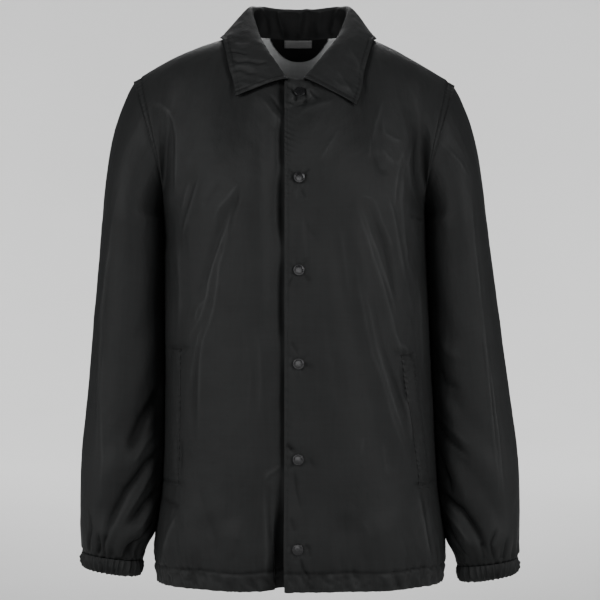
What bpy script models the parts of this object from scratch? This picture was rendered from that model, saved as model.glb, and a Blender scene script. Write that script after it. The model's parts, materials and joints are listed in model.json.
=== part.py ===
"""A coach-cut windbreaker, hollow and filled out as it is worn.

Metres, +Z up. The front faces -Y and the wearer's left is +X. The origin is in the middle of the
neck, at the height where the shoulder seams meet the collar. Every piece of cloth is a thin wall:
an outer grid of points, worked out from the tables below, and an inner grid one thickness behind it.
"""

import math
from collections import namedtuple

import bpy
import numpy as np

# Driving dimensions
HEM = -0.737  # height of the hem's lower edge
HALF_PANEL = 0.27  # cloth from the middle of a panel to its side seam
LEVEL_LENGTH = {False: 0.497, True: 0.190}  # cloth from hem to underarm, and up to the neck
HEM_DEPTH = 0.025  # turned-up hem channel
ARMPIT = -0.240  # height of the underarm seam
CLOTH = 0.0015  # wall of the shell
HEM_CLOTH = 0.0024  # wall of the turned-up hem
COLLAR_CLOTH = 0.0016  # two plies and an interlining
CUFF_CLOTH = 0.0022  # casing over the elastic
SEAM_GAP = 0.0003  # parting between sewn pieces
ARMHOLE_GAP = 0.0005  # the same sideways at the armhole, whose edge is slanted
NECK_POINT = (0.074, 0.004, 0.010)  # shoulder seam at the collar
SHOULDER_TIP = (0.220, 0.000, -0.057)  # shoulder seam at the sleeve
SHOULDER_ARCH = 0.008  # rise of the shoulder seam above a straight line
NECK_SHARE = 0.44  # share of a half panel's top edge that is neckline
FRONT_NECK = (-0.095, -0.066)  # depth and height of the neckline at the centre front
BACK_NECK = (0.068, 0.010)  # depth and height of the neckline at the centre back
SQUARENESS = 2.35  # 2 is an ellipse, higher is boxier
LAP = 0.077  # share of a half front that the upper front laps past the middle
UNDERLAP = 0.068  # the same for the lower front
LAP_DROP = 0.0034  # how far the lower front lies behind the upper one
LAP_LIFT = 0.0015  # how far the upper front's free edge stands off
SHOULDER_LEAN = 0.008  # the shoulders sit this far to the wearer's right
SHOULDER_DIP = 0.005  # the wearer's left shoulder is this much lower
SNAP_RADIUS = 0.0075
SNAP_HEIGHT = 0.0031
SNAP_DRIFT = -0.011  # how far the lowest snap sits past the middle, as a share of a half front
SNAP_HEIGHTS = (-0.083, -0.197, -0.317, -0.439, -0.562, -0.681)

# Rows of the cloth grids
UPPER_ROWS = 7  # from the underarm to the shoulder
LOWER_ROWS = 10  # from the hem to the underarm, above the hem channel
NECK_COLUMNS = 7  # along half a neckline
SHOULDER_COLUMNS = 12  # along a shoulder seam
CAP_ROWS = 6  # from the armhole to the free sleeve
ARM_ROWS = 19  # down the free sleeve
CUFF_POINTS = 56
WELT_ROWS, WELT_COLUMNS = 8, 4
FACING_ROWS, FACING_COLUMNS = 5, 13
LABEL_ROWS, LABEL_COLUMNS = 3, 5

# Handles of the curves that carry the cloth from the underarm up to the neckline and shoulder
RISE_SHARE = 0.36  # of the way up, where a column still stands straight
RISE_LEAN = 0.03  # and how far it leans out there
ARM_HANDLE = (-0.008, 0.080, 0.050)  # at the underarm
NECK_HANDLE = (0.0, 0.046, -0.062)
SHOULDER_HANDLE = (0.0, 0.070, -0.008)
TIP_HANDLE = (-0.013, 0.086, -0.046)

# Ways in which the sleeve leaves the armhole and runs into the arm
HEAD_LEAVE = (0.50, 0.0, -0.87)
PIT_LEAVE = (0.35, 0.0, -0.94)
ARM_AXIS = (0.08, 0.0, -1.0)
HEAD_REACH, ARM_REACH = 0.36, 0.40  # lengths of the two handles, as shares of the span

# Tables, one row for each section, point or fold
TorsoRing = namedtuple("TorsoRing", "height half_width front back")
TORSO = (
    TorsoRing(-0.737, 0.1945, 0.131, 0.120),
    TorsoRing(-0.700, 0.1990, 0.138, 0.125),
    TorsoRing(-0.612, 0.1885, 0.140, 0.124),
    TorsoRing(-0.493, 0.1830, 0.141, 0.122),
    TorsoRing(-0.356, 0.1800, 0.143, 0.124),
    TorsoRing(-0.240, 0.1790, 0.141, 0.128),
)

SleeveRing = namedtuple("SleeveRing", "outer_x outer_z inner_x inner_z half_depth middle_y")
SLEEVE = (
    SleeveRing(0.2615, -0.235, 0.1835, -0.270, 0.078, 0.002),
    SleeveRing(0.2685, -0.301, 0.1850, -0.327, 0.076, 0.004),
    SleeveRing(0.2800, -0.411, 0.1880, -0.430, 0.072, 0.006),
    SleeveRing(0.2890, -0.493, 0.1920, -0.510, 0.068, 0.004),
    SleeveRing(0.2973, -0.575, 0.1985, -0.590, 0.064, -0.002),
    SleeveRing(0.2985, -0.640, 0.2055, -0.652, 0.059, -0.008),
    SleeveRing(0.2980, -0.683, 0.2085, -0.694, 0.054, -0.012),
    SleeveRing(0.2955, -0.705, 0.2145, -0.716, 0.038, -0.013),
)
CuffRing = namedtuple("CuffRing", "outer_x outer_z inner_x inner_z half_depth")
CUFF = (
    CuffRing(0.2955, -0.7053, 0.2145, -0.7163, 0.038),
    CuffRing(0.2965, -0.7130, 0.2145, -0.7240, 0.039),
    CuffRing(0.2950, -0.7215, 0.2165, -0.7325, 0.038),
    CuffRing(0.2925, -0.7275, 0.2195, -0.7385, 0.036),
)
SLEEVE_DROP = {1: 0.001, -1: -0.007}  # the wearer's left sleeve hangs a little lower
CUFF_GATHERS = 14
CUFF_GATHER_DEPTH = 0.0016
SLEEVE_GATHERS = 7
SLEEVE_GATHER_DEPTH = 0.0034
GATHER_TOP, GATHER_RUN = -0.600, 0.09  # where the gathers start, and how soon they are full
CALM_ROWS = 3.0  # rows below the armhole that folds leave alone
BESIDE_CALM = 0.75  # share of a fold that is taken away beside the body
DROP_TOP, DROP_RUN = -0.30, 0.36  # where a sleeve's drop starts, and how soon it is full
ARC_PER_DEGREE = 0.00105  # cloth round a sleeve for a degree of turn

# The collar's fold line from the middle of the back (0) to the front end (1)
RollPoint = namedtuple("RollPoint", "along x y z")
ROLL = (
    RollPoint(0.00, 0.0000, 0.0850, 0.0550),
    RollPoint(0.16, 0.0310, 0.0790, 0.0555),
    RollPoint(0.31, 0.0560, 0.0570, 0.0550),
    RollPoint(0.45, 0.0655, 0.0220, 0.0460),
    RollPoint(0.60, 0.0550, -0.0220, 0.0080),
    RollPoint(0.80, 0.0360, -0.0660, -0.0270),
    RollPoint(1.00, 0.0122, -0.1030, -0.0595),
)
# The collar's free edge, as places on the back or front panel, lifted off it
EdgePoint = namedtuple("EdgePoint", "along face share level lift")
EDGE = (
    EdgePoint(0.00, "back", 0.00, 1.87, 0.0060),
    EdgePoint(0.16, "back", 0.20, 1.87, 0.0060),
    EdgePoint(0.31, "back", 0.40, 1.88, 0.0055),
    EdgePoint(0.47, "back", 0.56, 1.97, 0.0050),
    EdgePoint(0.60, "front", 0.550, 1.91, 0.0050),
    EdgePoint(0.80, "front", 0.480, 1.76, 0.0050),
    EdgePoint(1.00, "front", 0.345, 1.64, 0.0050),
)
COLLAR_SHIFT = -0.0053  # the collar's opening sits this far off the middle
COLLAR_SHIFT_SHARE = 0.032  # the same along its free edge, as a share of a half front
COLLAR_TIP_SKEW = 0.028  # one collar point hangs lower than the other by twice this, in levels
ROLL_HANDLE = 0.010  # roundness of the fold
LEAF_BULGE = 0.007  # how far the leaf's middle stands off the body
STAND_STEPS = (0.0, 0.35, 0.62, 0.80, 0.92)
LEAF_STEPS = (0.0, 0.10, 0.24, 0.45, 0.72, 1.0)
COLLAR_END = {1: 0.026, 0: 0.0, -1: 0.097}  # share at which it ends, by side

Welt = namedtuple("Welt", "top_share bottom_share top_height bottom_height")
WELTS = {1: Welt(0.585, 0.700, -0.428, -0.606), -1: Welt(0.700, 0.715, -0.421, -0.603)}
WELT_WIDTH = 0.026
WELT_GAP = 0.0007  # parting between a welt and the folds of the front

# The half-moon facing and the label inside the back neck: half width as a share of a half back,
# top and drop in levels
InsidePatch = namedtuple("InsidePatch", "half_share top drop lift")
NECK_FACING = InsidePatch(0.1714, 1.985, 0.148, 0.0019)
NECK_LABEL = InsidePatch(0.0793, 1.975, 0.052, 0.0034)
FACING_CORNER = 0.07  # height left at the half-moon's ends, as a share of its drop
INSIDE_CLOTH = 0.0010  # wall of the neck facing and of the label

# The largest folds: a soft ridge (positive) or trough (negative) along a line on a panel
PanelFold = namedtuple("PanelFold", "x0 z0 x1 z1 width height")
FRONT_FOLDS = (
    PanelFold(-0.182, -0.100, -0.178, -0.215, 0.014, -0.0050),
    PanelFold(-0.168, -0.110, -0.170, -0.240, 0.014, 0.0040),
    PanelFold(-0.140, -0.190, -0.168, -0.290, 0.016, -0.0035),
    PanelFold(-0.046, -0.110, -0.042, -0.400, 0.016, -0.0045),
    PanelFold(-0.044, -0.580, -0.034, -0.737, 0.014, -0.0060),
    PanelFold(-0.120, -0.640, -0.135, -0.737, 0.018, -0.0045),
    PanelFold(-0.085, -0.650, -0.080, -0.737, 0.018, 0.0040),
    PanelFold(0.172, -0.120, 0.165, -0.235, 0.015, -0.0050),
    PanelFold(0.150, -0.110, 0.148, -0.260, 0.016, 0.0040),
    PanelFold(0.068, -0.260, 0.138, -0.570, 0.017, 0.0050),
    PanelFold(0.044, -0.270, 0.112, -0.590, 0.018, -0.0035),
    PanelFold(0.060, -0.640, 0.055, -0.737, 0.020, -0.0045),
    PanelFold(0.105, -0.640, 0.112, -0.737, 0.018, 0.0040),
    PanelFold(0.150, -0.600, 0.160, -0.737, 0.018, -0.0045),
)
BACK_FOLDS = (
    PanelFold(-0.160, -0.120, -0.120, -0.280, 0.020, -0.0060),
    PanelFold(0.158, -0.130, 0.115, -0.300, 0.020, -0.0060),
    PanelFold(-0.070, -0.330, -0.095, -0.640, 0.024, 0.0055),
    PanelFold(0.055, -0.300, 0.085, -0.650, 0.024, 0.0055),
    PanelFold(-0.015, -0.420, -0.010, -0.737, 0.022, -0.0050),
    PanelFold(0.120, -0.560, 0.125, -0.737, 0.020, -0.0045),
    PanelFold(-0.135, -0.580, -0.130, -0.737, 0.020, -0.0045),
)
# The same on a sleeve: turn is 0 on the outer side, 90 in front, 180 beside the body
SleeveFold = namedtuple("SleeveFold", "turn0 z0 turn1 z1 width height")
SLEEVE_FOLDS = (
    SleeveFold(158, -0.430, 80, -0.560, 0.016, -0.0060),
    SleeveFold(160, -0.500, 60, -0.670, 0.014, -0.0065),
    SleeveFold(165, -0.560, 95, -0.680, 0.013, -0.0055),
    SleeveFold(170, -0.330, 105, -0.420, 0.018, -0.0045),
    SleeveFold(150, -0.470, 65, -0.610, 0.014, 0.0040),
    SleeveFold(215, -0.420, 290, -0.540, 0.018, -0.0055),
    SleeveFold(210, -0.520, 300, -0.650, 0.016, -0.0055),
    SleeveFold(25, -0.320, 18, -0.660, 0.012, 0.0030),
)


def smooth(value):
    """0 below 0, 1 above 1 and an even S between them."""
    value = np.clip(value, 0.0, 1.0)
    return value * value * (3.0 - 2.0 * value)


def through(knots, values, at):
    """A smooth curve through a table's column, read at the given places."""
    knots = np.asarray(knots, float)
    values = np.asarray(values, float)
    order = np.argsort(knots)
    knots, values = knots[order], values[order]
    slopes = np.gradient(values, knots)
    at = np.clip(at, knots[0], knots[-1])
    left = np.clip(np.searchsorted(knots, at) - 1, 0, len(knots) - 2)
    span = knots[left + 1] - knots[left]
    f = (at - knots[left]) / span
    start = values[left] * (1 + 2 * f) * (1 - f) ** 2 + slopes[left] * span * f * (1 - f) ** 2
    end = values[left + 1] * f * f * (3 - 2 * f) + slopes[left + 1] * span * f * f * (f - 1)
    return start + end


def bezier(p0, p1, p2, p3, f):
    return p0 * (1 - f) ** 3 + 3 * p1 * f * (1 - f) ** 2 + 3 * p2 * f * f * (1 - f) + p3 * f**3


def unit(vectors):
    return vectors / np.linalg.norm(vectors, axis=-1, keepdims=True)


def grid_normals(points, ring=False):
    """Normals of a grid of rows and columns. With ring, the last column meets the first."""
    if ring:
        across = np.roll(points, -1, axis=1) - np.roll(points, 1, axis=1)
    else:
        across = np.gradient(points, axis=1)
    return unit(np.cross(across, np.gradient(points, axis=0)))


def fold_heights(first, second, folds):
    """Sum of soft ridges and troughs, each along a line in the plane of two coordinates."""
    heights = np.zeros_like(first)
    for start_a, start_b, end_a, end_b, width, height in folds:
        run_a, run_b = end_a - start_a, end_b - start_b
        length = run_a**2 + run_b**2
        along = ((first - start_a) * run_a + (second - start_b) * run_b) / length
        nearest = np.clip(along, 0.0, 1.0)
        off = np.hypot(first - start_a - nearest * run_a, second - start_b - nearest * run_b)
        ends = smooth((along + 0.15) / 0.35) * smooth((1.15 - along) / 0.35)
        heights += height * ends * np.exp(-((off / width) ** 2))
    return heights


def leaned(points):
    """The worn jacket's shoulders sit a little to one side; neck and hem stay in the middle."""
    points = np.array(points, float)
    x, z = points[..., 0], points[..., 2]
    outward = smooth((np.abs(x) - 0.06) / 0.13)
    dip = smooth((x - 0.06) / 0.13) * smooth((z + 0.40) / 0.30)
    points[..., 0] = x - SHOULDER_LEAN * outward * smooth((z + 0.60) / 0.42)
    points[..., 2] = z - SHOULDER_DIP * dip
    return points


# The body's half panels


def torso_size(column, heights):
    return through([r.height for r in TORSO], [getattr(r, column) for r in TORSO], heights)


def section(half_width, depth, shares):
    """Points of a rounded quarter section, evenly along it from the middle (0) to the side (1)."""
    turn = np.linspace(0.0, math.pi / 2, 91)
    x = half_width * np.sin(turn) ** (2 / SQUARENESS)
    y = depth * np.cos(turn) ** (2 / SQUARENESS)
    run = np.concatenate([[0.0], np.cumsum(np.hypot(np.diff(x), np.diff(y)))])
    at = np.abs(shares) * run[-1]
    return np.interp(at, run, x) * np.sign(shares + 1e-12), np.interp(at, run, y)


def top_edge(face, shares):
    """Neckline from the middle to the neck point, then the shoulder seam to its tip."""
    depth, height = FRONT_NECK if face == "front" else BACK_NECK
    size = np.abs(shares)
    turn = np.clip(size / NECK_SHARE, 0.0, 1.0) * math.pi / 2
    rise = (1.0 - np.cos(turn))[:, None]
    middle = np.array([0.0, depth, height])
    neck = middle + (np.array(NECK_POINT) - middle) * rise
    neck[:, 0] = NECK_POINT[0] * np.sin(turn)
    out = np.clip((size - NECK_SHARE) / (1.0 - NECK_SHARE), 0.0, 1.0)[:, None]
    shoulder = np.array(NECK_POINT) + (np.array(SHOULDER_TIP) - np.array(NECK_POINT)) * out
    shoulder[:, 2] += SHOULDER_ARCH * np.sin(math.pi * out[:, 0])
    points = np.where((size < NECK_SHARE)[:, None], neck, shoulder)
    points[:, 0] *= np.sign(shares + 1e-12)
    return points


def upper_handles(face, shares, low, top):
    """Bezier handles of the columns from the underarm level to the top edge."""
    size = np.abs(shares)
    to_arm = smooth((size - 0.75) / 0.25)[:, None]
    to_shoulder = smooth((size - 0.30) / 0.30)[:, None]
    out = -1.0 if face == "front" else 1.0
    sign = np.sign(shares + 1e-12)
    mirror = np.stack([sign, np.full_like(sign, out), np.ones_like(sign)], axis=1)
    up = RISE_SHARE * (top[:, 2] - low[:, 2])
    rise = np.stack([np.zeros_like(up), RISE_LEAN * up, up], axis=1)
    first = low + mirror * (rise * (1 - to_arm) + np.array(ARM_HANDLE) * to_arm)
    reach = np.array(NECK_HANDLE) * (1 - to_shoulder) + np.array(SHOULDER_HANDLE) * to_shoulder
    reach = reach * (1 - to_arm) + np.array(TIP_HANDLE) * to_arm
    return first, top + mirror * reach


def panel_points(face, shares, levels):
    """Grid of a body panel: level 0 is the hem, 1 the underarm and 2 the neckline and shoulder."""
    out = -1.0 if face == "front" else 1.0
    shares = np.asarray(shares, float)
    points = np.empty((len(levels), len(shares), 3))
    for row, level in enumerate(levels):
        height = HEM + (ARMPIT - HEM) * min(level, 1.0)
        x, y = section(torso_size("half_width", height), torso_size(face, height), shares)
        low = np.stack([x, out * y, np.full_like(x, height)], axis=1)
        if level > 1.0:
            top = top_edge(face, shares)
            low = bezier(low, *upper_handles(face, shares, low, top), top, level - 1.0)
        points[row] = low
    points[..., 1] += out * SEAM_GAP * 0.6
    return points


def panel_levels():
    hem = np.array([0.0, 0.5, 1.0, 1.9]) * HEM_DEPTH / (ARMPIT - HEM)
    return np.concatenate([
        hem[:-1],
        np.linspace(hem[-1], 1.0, LOWER_ROWS, endpoint=False),
        np.linspace(1.0, 2.0, UPPER_ROWS + 1),
    ])


class Panel:
    """A body panel: its grid of outer points, its normals and its wall."""

    def __init__(self, face, shares, folds, drop=None):
        self.face = face
        self.shares = np.asarray(shares, float)
        self.levels = panel_levels()
        flat = panel_points(face, self.shares, self.levels)
        facing = np.sign(self.shares[-1] - self.shares[0]) * (1 if face == "front" else -1)
        self.facing = facing
        normals = grid_normals(flat) * facing
        size = np.abs(self.shares)[None, :]
        level = self.levels[:, None]
        seam = np.where(level > 0.95, 0.26, 0.10)
        calm = smooth((1.0 - size) / seam) * smooth((2.0 - level) / 0.25)
        if face == "front":
            calm = calm * smooth((size - 0.12) / 0.10)
        height = fold_heights(flat[..., 0], flat[..., 2], folds) * calm
        if drop is not None:
            height = height + drop(self.shares)[None, :]
        self.outer = flat + normals * height[..., None]
        self.normals = grid_normals(self.outer) * facing
        self.square_seams()

    def square_seams(self):
        """At the shoulder and side seams the edge lies in the seam's own plane, y = constant."""
        at_side = np.isclose(np.abs(self.shares), 1.0)
        below = self.levels <= 1.0 + 1e-9
        shoulder = np.abs(self.shares) >= NECK_SHARE - 0.02
        self.normals[np.ix_(below, at_side)] *= (1.0, 0.0, 1.0)
        self.normals[-1, shoulder] *= (1.0, 0.0, 1.0)
        self.normals = unit(self.normals)

    def at(self, share, level, lift=0.0):
        """Point and normal at a place on the panel, read from its grid and moved out by lift."""
        shares = self.shares if self.shares[0] < self.shares[-1] else self.shares[::-1]
        flip = slice(None) if self.shares[0] < self.shares[-1] else slice(None, None, -1)
        column = np.clip(np.searchsorted(shares, share) - 1, 0, len(shares) - 2)
        row = np.clip(np.searchsorted(self.levels, level) - 1, 0, len(self.levels) - 2)
        a = (share - shares[column]) / (shares[column + 1] - shares[column])
        b = (level - self.levels[row]) / (self.levels[row + 1] - self.levels[row])
        found = []
        for grid in (self.outer, self.normals):
            cell = grid[row:row + 2, flip][:, column:column + 2]
            low = cell[0, 0] * (1 - a) + cell[0, 1] * a
            high = cell[1, 0] * (1 - a) + cell[1, 1] * a
            found.append(low * (1 - b) + high * b)
        normal = unit(found[1])
        return found[0] + normal * lift, normal

    def level_of(self, share, height):
        """The level at which a column of the panel reaches a height."""
        tries = np.linspace(0.0, 2.0, 401)
        heights = np.array([self.at(share, level)[0][2] for level in tries])
        return float(tries[np.argmin(np.abs(heights - height))])

    def arm_column(self, side):
        """The column that runs up the armhole on one side."""
        return int(np.argmax(self.shares * side))

    def wall(self):
        hem = smooth((HEM_DEPTH / (ARMPIT - HEM) * 1.5 - self.levels) / 0.02)
        thickness = CLOTH + (HEM_CLOTH - CLOTH) * hem
        return self.outer, self.outer - self.normals * thickness[:, None, None]


# The sleeves


def arm_ring(row, turns, side):
    """A sleeve's ring between its outer and inner lines, bulging to half_depth at front and back."""
    drop = SLEEVE_DROP[side] * smooth((DROP_TOP - row.outer_z) / DROP_RUN)
    outer = np.array([row.outer_x, row.middle_y, row.outer_z - drop])
    inner = np.array([row.inner_x, row.middle_y, row.inner_z - drop])
    cosine, sine = np.cos(turns), np.sin(turns)
    middle = (outer + inner) / 2
    squash = np.sign(sine) * np.abs(sine) ** 0.9
    ring = middle + (outer - middle) * cosine[:, None]
    ring[:, 1] -= row.half_depth * squash
    ring[:, 0] *= side
    return ring


def sleeve_row(height):
    """The sleeve's table, read at a height of its outer line."""
    heights = [r.outer_z for r in SLEEVE]
    columns = [through(heights, [getattr(r, c) for r in SLEEVE], height) for c in SleeveRing._fields]
    return SleeveRing(*columns)


def armhole_ring(front, back, side):
    """The two panels' armhole edges as one ring, with a point in the middle of every stretch."""
    halves = []
    for panel in (front, back):
        edge = (slice(-UPPER_ROWS - 1, None), panel.arm_column(side))
        halves.append((panel.outer[edge], panel.normals[edge]))
    rings = []
    for front_edge, back_edge in zip(halves[0], halves[1]):
        down, up = front_edge[::-1], back_edge
        tip, pit = (down[0] + up[-1]) / 2, (down[-1] + up[0]) / 2
        ring = np.concatenate([[tip], down[1:-1], [pit], up[1:-1]])
        middle = (ring + np.roll(ring, -1, axis=0)) / 2
        rings.append(np.stack([ring, middle], axis=1).reshape(-1, 3))
    return rings[0], unit(rings[1])


def sleeve_grid(front, back, side):
    """Rings from the armhole over the sleeve head and down the arm to the cuff."""
    armhole, armhole_normals = armhole_ring(front, back, side)
    armhole = armhole + np.array([side * ARMHOLE_GAP, 0.0, 0.0])
    count = len(armhole)
    turns = np.arange(count) * 2 * math.pi / count
    free = arm_ring(SLEEVE[0], turns, side)
    span = np.linalg.norm(free - armhole, axis=1)[:, None]
    over = (1 + np.cos(turns))[:, None] / 2
    mirror = np.array([side, 1.0, 1.0])
    leave = mirror * (np.array(HEAD_LEAVE) * over + np.array(PIT_LEAVE) * (1 - over))
    first = armhole + leave * span * HEAD_REACH
    second = free - mirror * ARM_AXIS * span * ARM_REACH
    rows = [bezier(armhole, first, second, free, f) for f in np.linspace(0, 1, CAP_ROWS + 1)]
    heights = np.linspace(SLEEVE[0].outer_z, SLEEVE[-1].outer_z, ARM_ROWS + 1)[1:]
    heights[-2] = (heights[-1] * 2 + heights[-3]) / 3
    rows += [arm_ring(sleeve_row(h), turns, side) for h in heights]
    grid = np.array(rows)
    normals = grid_normals(grid, ring=True) * side
    height = sleeve_folds(grid, turns)
    normals[-1] = in_ring_plane(grid[-1], normals[-1])
    gather = smooth((GATHER_TOP - grid[..., 2]) / GATHER_RUN) * SLEEVE_GATHER_DEPTH
    uneven = 0.8 * np.sin(2 * turns)
    height = height + gather * np.cos(SLEEVE_GATHERS * turns + uneven)[None, :]
    calm = smooth(np.arange(len(grid)) / CALM_ROWS)[:, None]
    beside = 1.0 - BESIDE_CALM * smooth((-np.cos(turns) - 0.75) / 0.2)[None, :]
    grid = grid + normals * (height * calm * beside)[..., None]
    normals = grid_normals(grid, ring=True) * side
    normals[-1] = in_ring_plane(grid[-1], normals[-1])
    return grid, normals, armhole_normals


def in_ring_plane(ring, normals):
    """Normals turned into the plane of a flat ring, so that its end stays flat."""
    quarter = len(ring) // 4
    axis = unit(np.cross(ring[0] - ring[2 * quarter], ring[quarter] - ring[3 * quarter]))
    return unit(normals - axis * (normals @ axis)[:, None])


def sleeve_folds(grid, turns):
    """Folds laid out on the unrolled sleeve: around it in metres, and down it."""
    around = np.broadcast_to(np.degrees(turns) * ARC_PER_DEGREE, grid.shape[:2])
    folds = []
    for fold in SLEEVE_FOLDS:
        start, end = fold.turn0 * ARC_PER_DEGREE, fold.turn1 * ARC_PER_DEGREE
        folds.append((start, fold.z0, end, fold.z1, fold.width, fold.height))
    return fold_heights(around, grid[..., 2], folds)


def mitre(own, other):
    """Where two walls meet at an outward corner, both edges lie in the plane between them."""
    share = smooth((np.sum(own * other, axis=-1, keepdims=True) + 0.1) / 0.5)
    return unit(own + other * share)


def join_armhole(front, back, side, sleeve_normals, armhole_normals):
    """Squares the panels' armhole edges and the sleeve's first ring to each other."""
    ring = sleeve_normals[0].copy()
    sleeve_normals[0] = mitre(ring, armhole_normals)
    steps = UPPER_ROWS
    for panel, places in ((front, np.arange(steps, -1, -1)), (back, np.arange(steps, 2 * steps + 1))):
        column = panel.arm_column(side)
        other = ring[(places * 2) % len(ring)]
        edge = panel.normals[-steps - 1:, column]
        mitred = mitre(edge, other)
        mitred[-1] = unit(mitred[-1] * (1.0, 0.0, 1.0))
        mitred[0] = edge[0]
        panel.normals[-steps - 1:, column] = mitred


def cuff_grid(side):
    """The elastic casing: a short tube whose wall is drawn into gathers."""
    turns = np.arange(CUFF_POINTS) * 2 * math.pi / CUFF_POINTS
    rings = [SleeveRing(*row, SLEEVE[-1].middle_y) for row in CUFF]
    grid = np.array([arm_ring(ring, turns, side) for ring in rings])
    uneven = 1.1 * np.sin(turns) + 0.7 * np.sin(3 * turns)
    wave = np.cos(CUFF_GATHERS * turns + uneven)
    grid = grid + flat_normals(grid, side) * (CUFF_GATHER_DEPTH * wave)[None, :, None]
    return grid, flat_normals(grid, side)


def flat_normals(grid, side):
    """Normals of a stack of rings, each turned into its own ring's plane."""
    normals = grid_normals(grid, ring=True) * side
    return np.array([in_ring_plane(ring, normal) for ring, normal in zip(grid, normals)])


# The collar


def collar_grid(panels):
    """The collar's visible side, from the neck seam up the stand, over the fold and down the leaf."""
    alongs, base = neck_seam(panels)
    size = np.abs(alongs)
    knots = [row.along for row in ROLL]
    roll = np.stack([through(knots, [getattr(row, c) for row in ROLL], size) for c in "xyz"], axis=1)
    front = smooth((size - 0.45) / 0.55)
    roll[:, 0] = roll[:, 0] * np.where(alongs < 0, -1, 1) + COLLAR_SHIFT * front
    places = [edge_place(panels, along) for along in alongs]
    edge = np.array([point for point, _ in places])
    lift = unit(np.array([normal for _, normal in places]))
    up, down = roll - base, edge - roll
    over = unit(unit(up) + unit(down) + lift)
    handle = np.minimum(ROLL_HANDLE, 0.45 * np.linalg.norm(up, axis=1))[:, None]
    stand = [bezier(base, base + up * 0.45, roll - over * handle, roll, f) for f in STAND_STEPS]
    middle = roll + down * 0.55 + lift * (LEAF_BULGE * (1.0 - 0.4 * front))[:, None]
    leaf = [bezier(roll, roll + over * handle, middle, edge, f) for f in LEAF_STEPS]
    return np.array(stand + leaf)


def neck_seam(panels):
    """The neck seam, column by column of the panels' own edges, and how far along each one lies."""
    alongs, points = [], []
    for word, side in (("right", -1), ("back", 0), ("left", 1)):
        panel = panels[word]
        end = COLLAR_END[side]
        for share, point in zip(panel.shares, panel.outer[-1]):
            size = abs(share)
            if side == 0 and size < NECK_SHARE - 1e-6:
                alongs.append(0.5 * share / NECK_SHARE)
                points.append(point)
            if side != 0 and share * side > end - 1e-6 and size < NECK_SHARE + 1e-6:
                alongs.append(side * (1.0 - 0.5 * (size - end) / (NECK_SHARE - end)))
                points.append(point)
    order = np.argsort(alongs)
    return np.array(alongs)[order], np.array(points)[order] + np.array([0.0, 0.0, SEAM_GAP])


def edge_place(panels, along):
    """A point of the collar's free edge and the panel's normal there, from this side's own panels."""
    side = 1 if along >= 0 else -1
    front = smooth((np.array([row.along for row in EDGE]) - 0.45) / 0.55)
    found = []
    for row, weight in zip(EDGE, front):
        panel = panels["back"] if row.face == "back" else panels["left" if side > 0 else "right"]
        share = row.share - side * COLLAR_SHIFT_SHARE * weight
        found.append(panel.at(share * side, row.level - side * COLLAR_TIP_SKEW * weight, row.lift))
    points, normals = np.array(found).transpose(1, 2, 0)
    knots = [row.along for row in EDGE]
    point = np.array([through(knots, axis, abs(along)) for axis in points])
    normal = np.array([through(knots, axis, abs(along)) for axis in normals])
    return point, normal


# Small pieces that lie on a panel


def snap_seat(panel, share, level):
    """Where a snap's flat base clears the cloth under all of it, and the way it faces."""
    middle, normal = panel.at(share, level)
    heights = []
    for turn in np.linspace(0.0, 2 * math.pi, 16, endpoint=False):
        for radius in (0.5 * SNAP_RADIUS, SNAP_RADIUS):
            beside = share + radius * math.cos(turn) / HALF_PANEL
            above = level + radius * math.sin(turn) / LEVEL_LENGTH[level > 1.0]
            heights.append((panel.at(beside, above)[0] - middle) @ normal)
    return middle + normal * (max(0.0, *heights) + SEAM_GAP), normal


def welt_grid(panel, side):
    """A pocket's welt: a strip of the front panel's own points, moved out."""
    welt = WELTS[side]
    half = WELT_WIDTH / 2 / HALF_PANEL
    lift = CLOTH + WELT_GAP
    rows = []
    for down in np.linspace(0.0, 1.0, WELT_ROWS):
        height = welt.top_height + (welt.bottom_height - welt.top_height) * down
        share = welt.top_share + (welt.bottom_share - welt.top_share) * down
        level = (height - HEM) / (ARMPIT - HEM)
        places = np.linspace(share - half, share + half, WELT_COLUMNS) * side
        rows.append([panel.at(place, level, lift) for place in places])
    return points_and_normals(rows)


def points_and_normals(rows):
    """Rows of (point, normal) pairs as two grids."""
    both = np.array(rows)
    return both[:, :, 0], both[:, :, 1]


def facing_grid(panel):
    """A half-moon facing inside the back neck, one thickness inside the back panel."""
    rows = []
    for down in np.linspace(0.0, 1.0, FACING_ROWS):
        row = []
        for across in np.linspace(-1.0, 1.0, FACING_COLUMNS):
            moon = math.sqrt(1.0 - across * across)
            reach = FACING_CORNER + (1.0 - FACING_CORNER) * moon
            level = NECK_FACING.top - down * reach * NECK_FACING.drop
            row.append(panel.at(across * NECK_FACING.half_share, level, -NECK_FACING.lift))
        rows.append(row)
    return points_and_normals(rows)


def label_grid(panel):
    """A bare woven label under the neck seam, on the facing."""
    rows = []
    for down in np.linspace(0.0, 1.0, LABEL_ROWS):
        level = NECK_LABEL.top - down * NECK_LABEL.drop
        places = np.linspace(-1.0, 1.0, LABEL_COLUMNS) * NECK_LABEL.half_share
        rows.append([panel.at(place, level, -NECK_LABEL.lift) for place in places])
    return points_and_normals(rows)


# Meshes and materials


def finish(name, colour, roughness, metallic):
    material = bpy.data.materials.new(name)
    material.use_nodes = True
    shader = material.node_tree.nodes["Principled BSDF"]
    shader.inputs["Base Color"].default_value = (*colour, 1.0)
    shader.inputs["Roughness"].default_value = roughness
    shader.inputs["Metallic"].default_value = metallic
    return material


def add_object(name, vertices, faces, material):
    mesh = bpy.data.meshes.new(name)
    mesh.from_pydata([tuple(v) for v in vertices], [], faces)
    mesh.materials.append(material)
    mesh.shade_smooth()
    mesh.set_sharp_from_angle(angle=math.radians(50))
    made = bpy.data.objects.new(name, mesh)
    bpy.context.scene.collection.objects.link(made)
    return made


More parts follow.
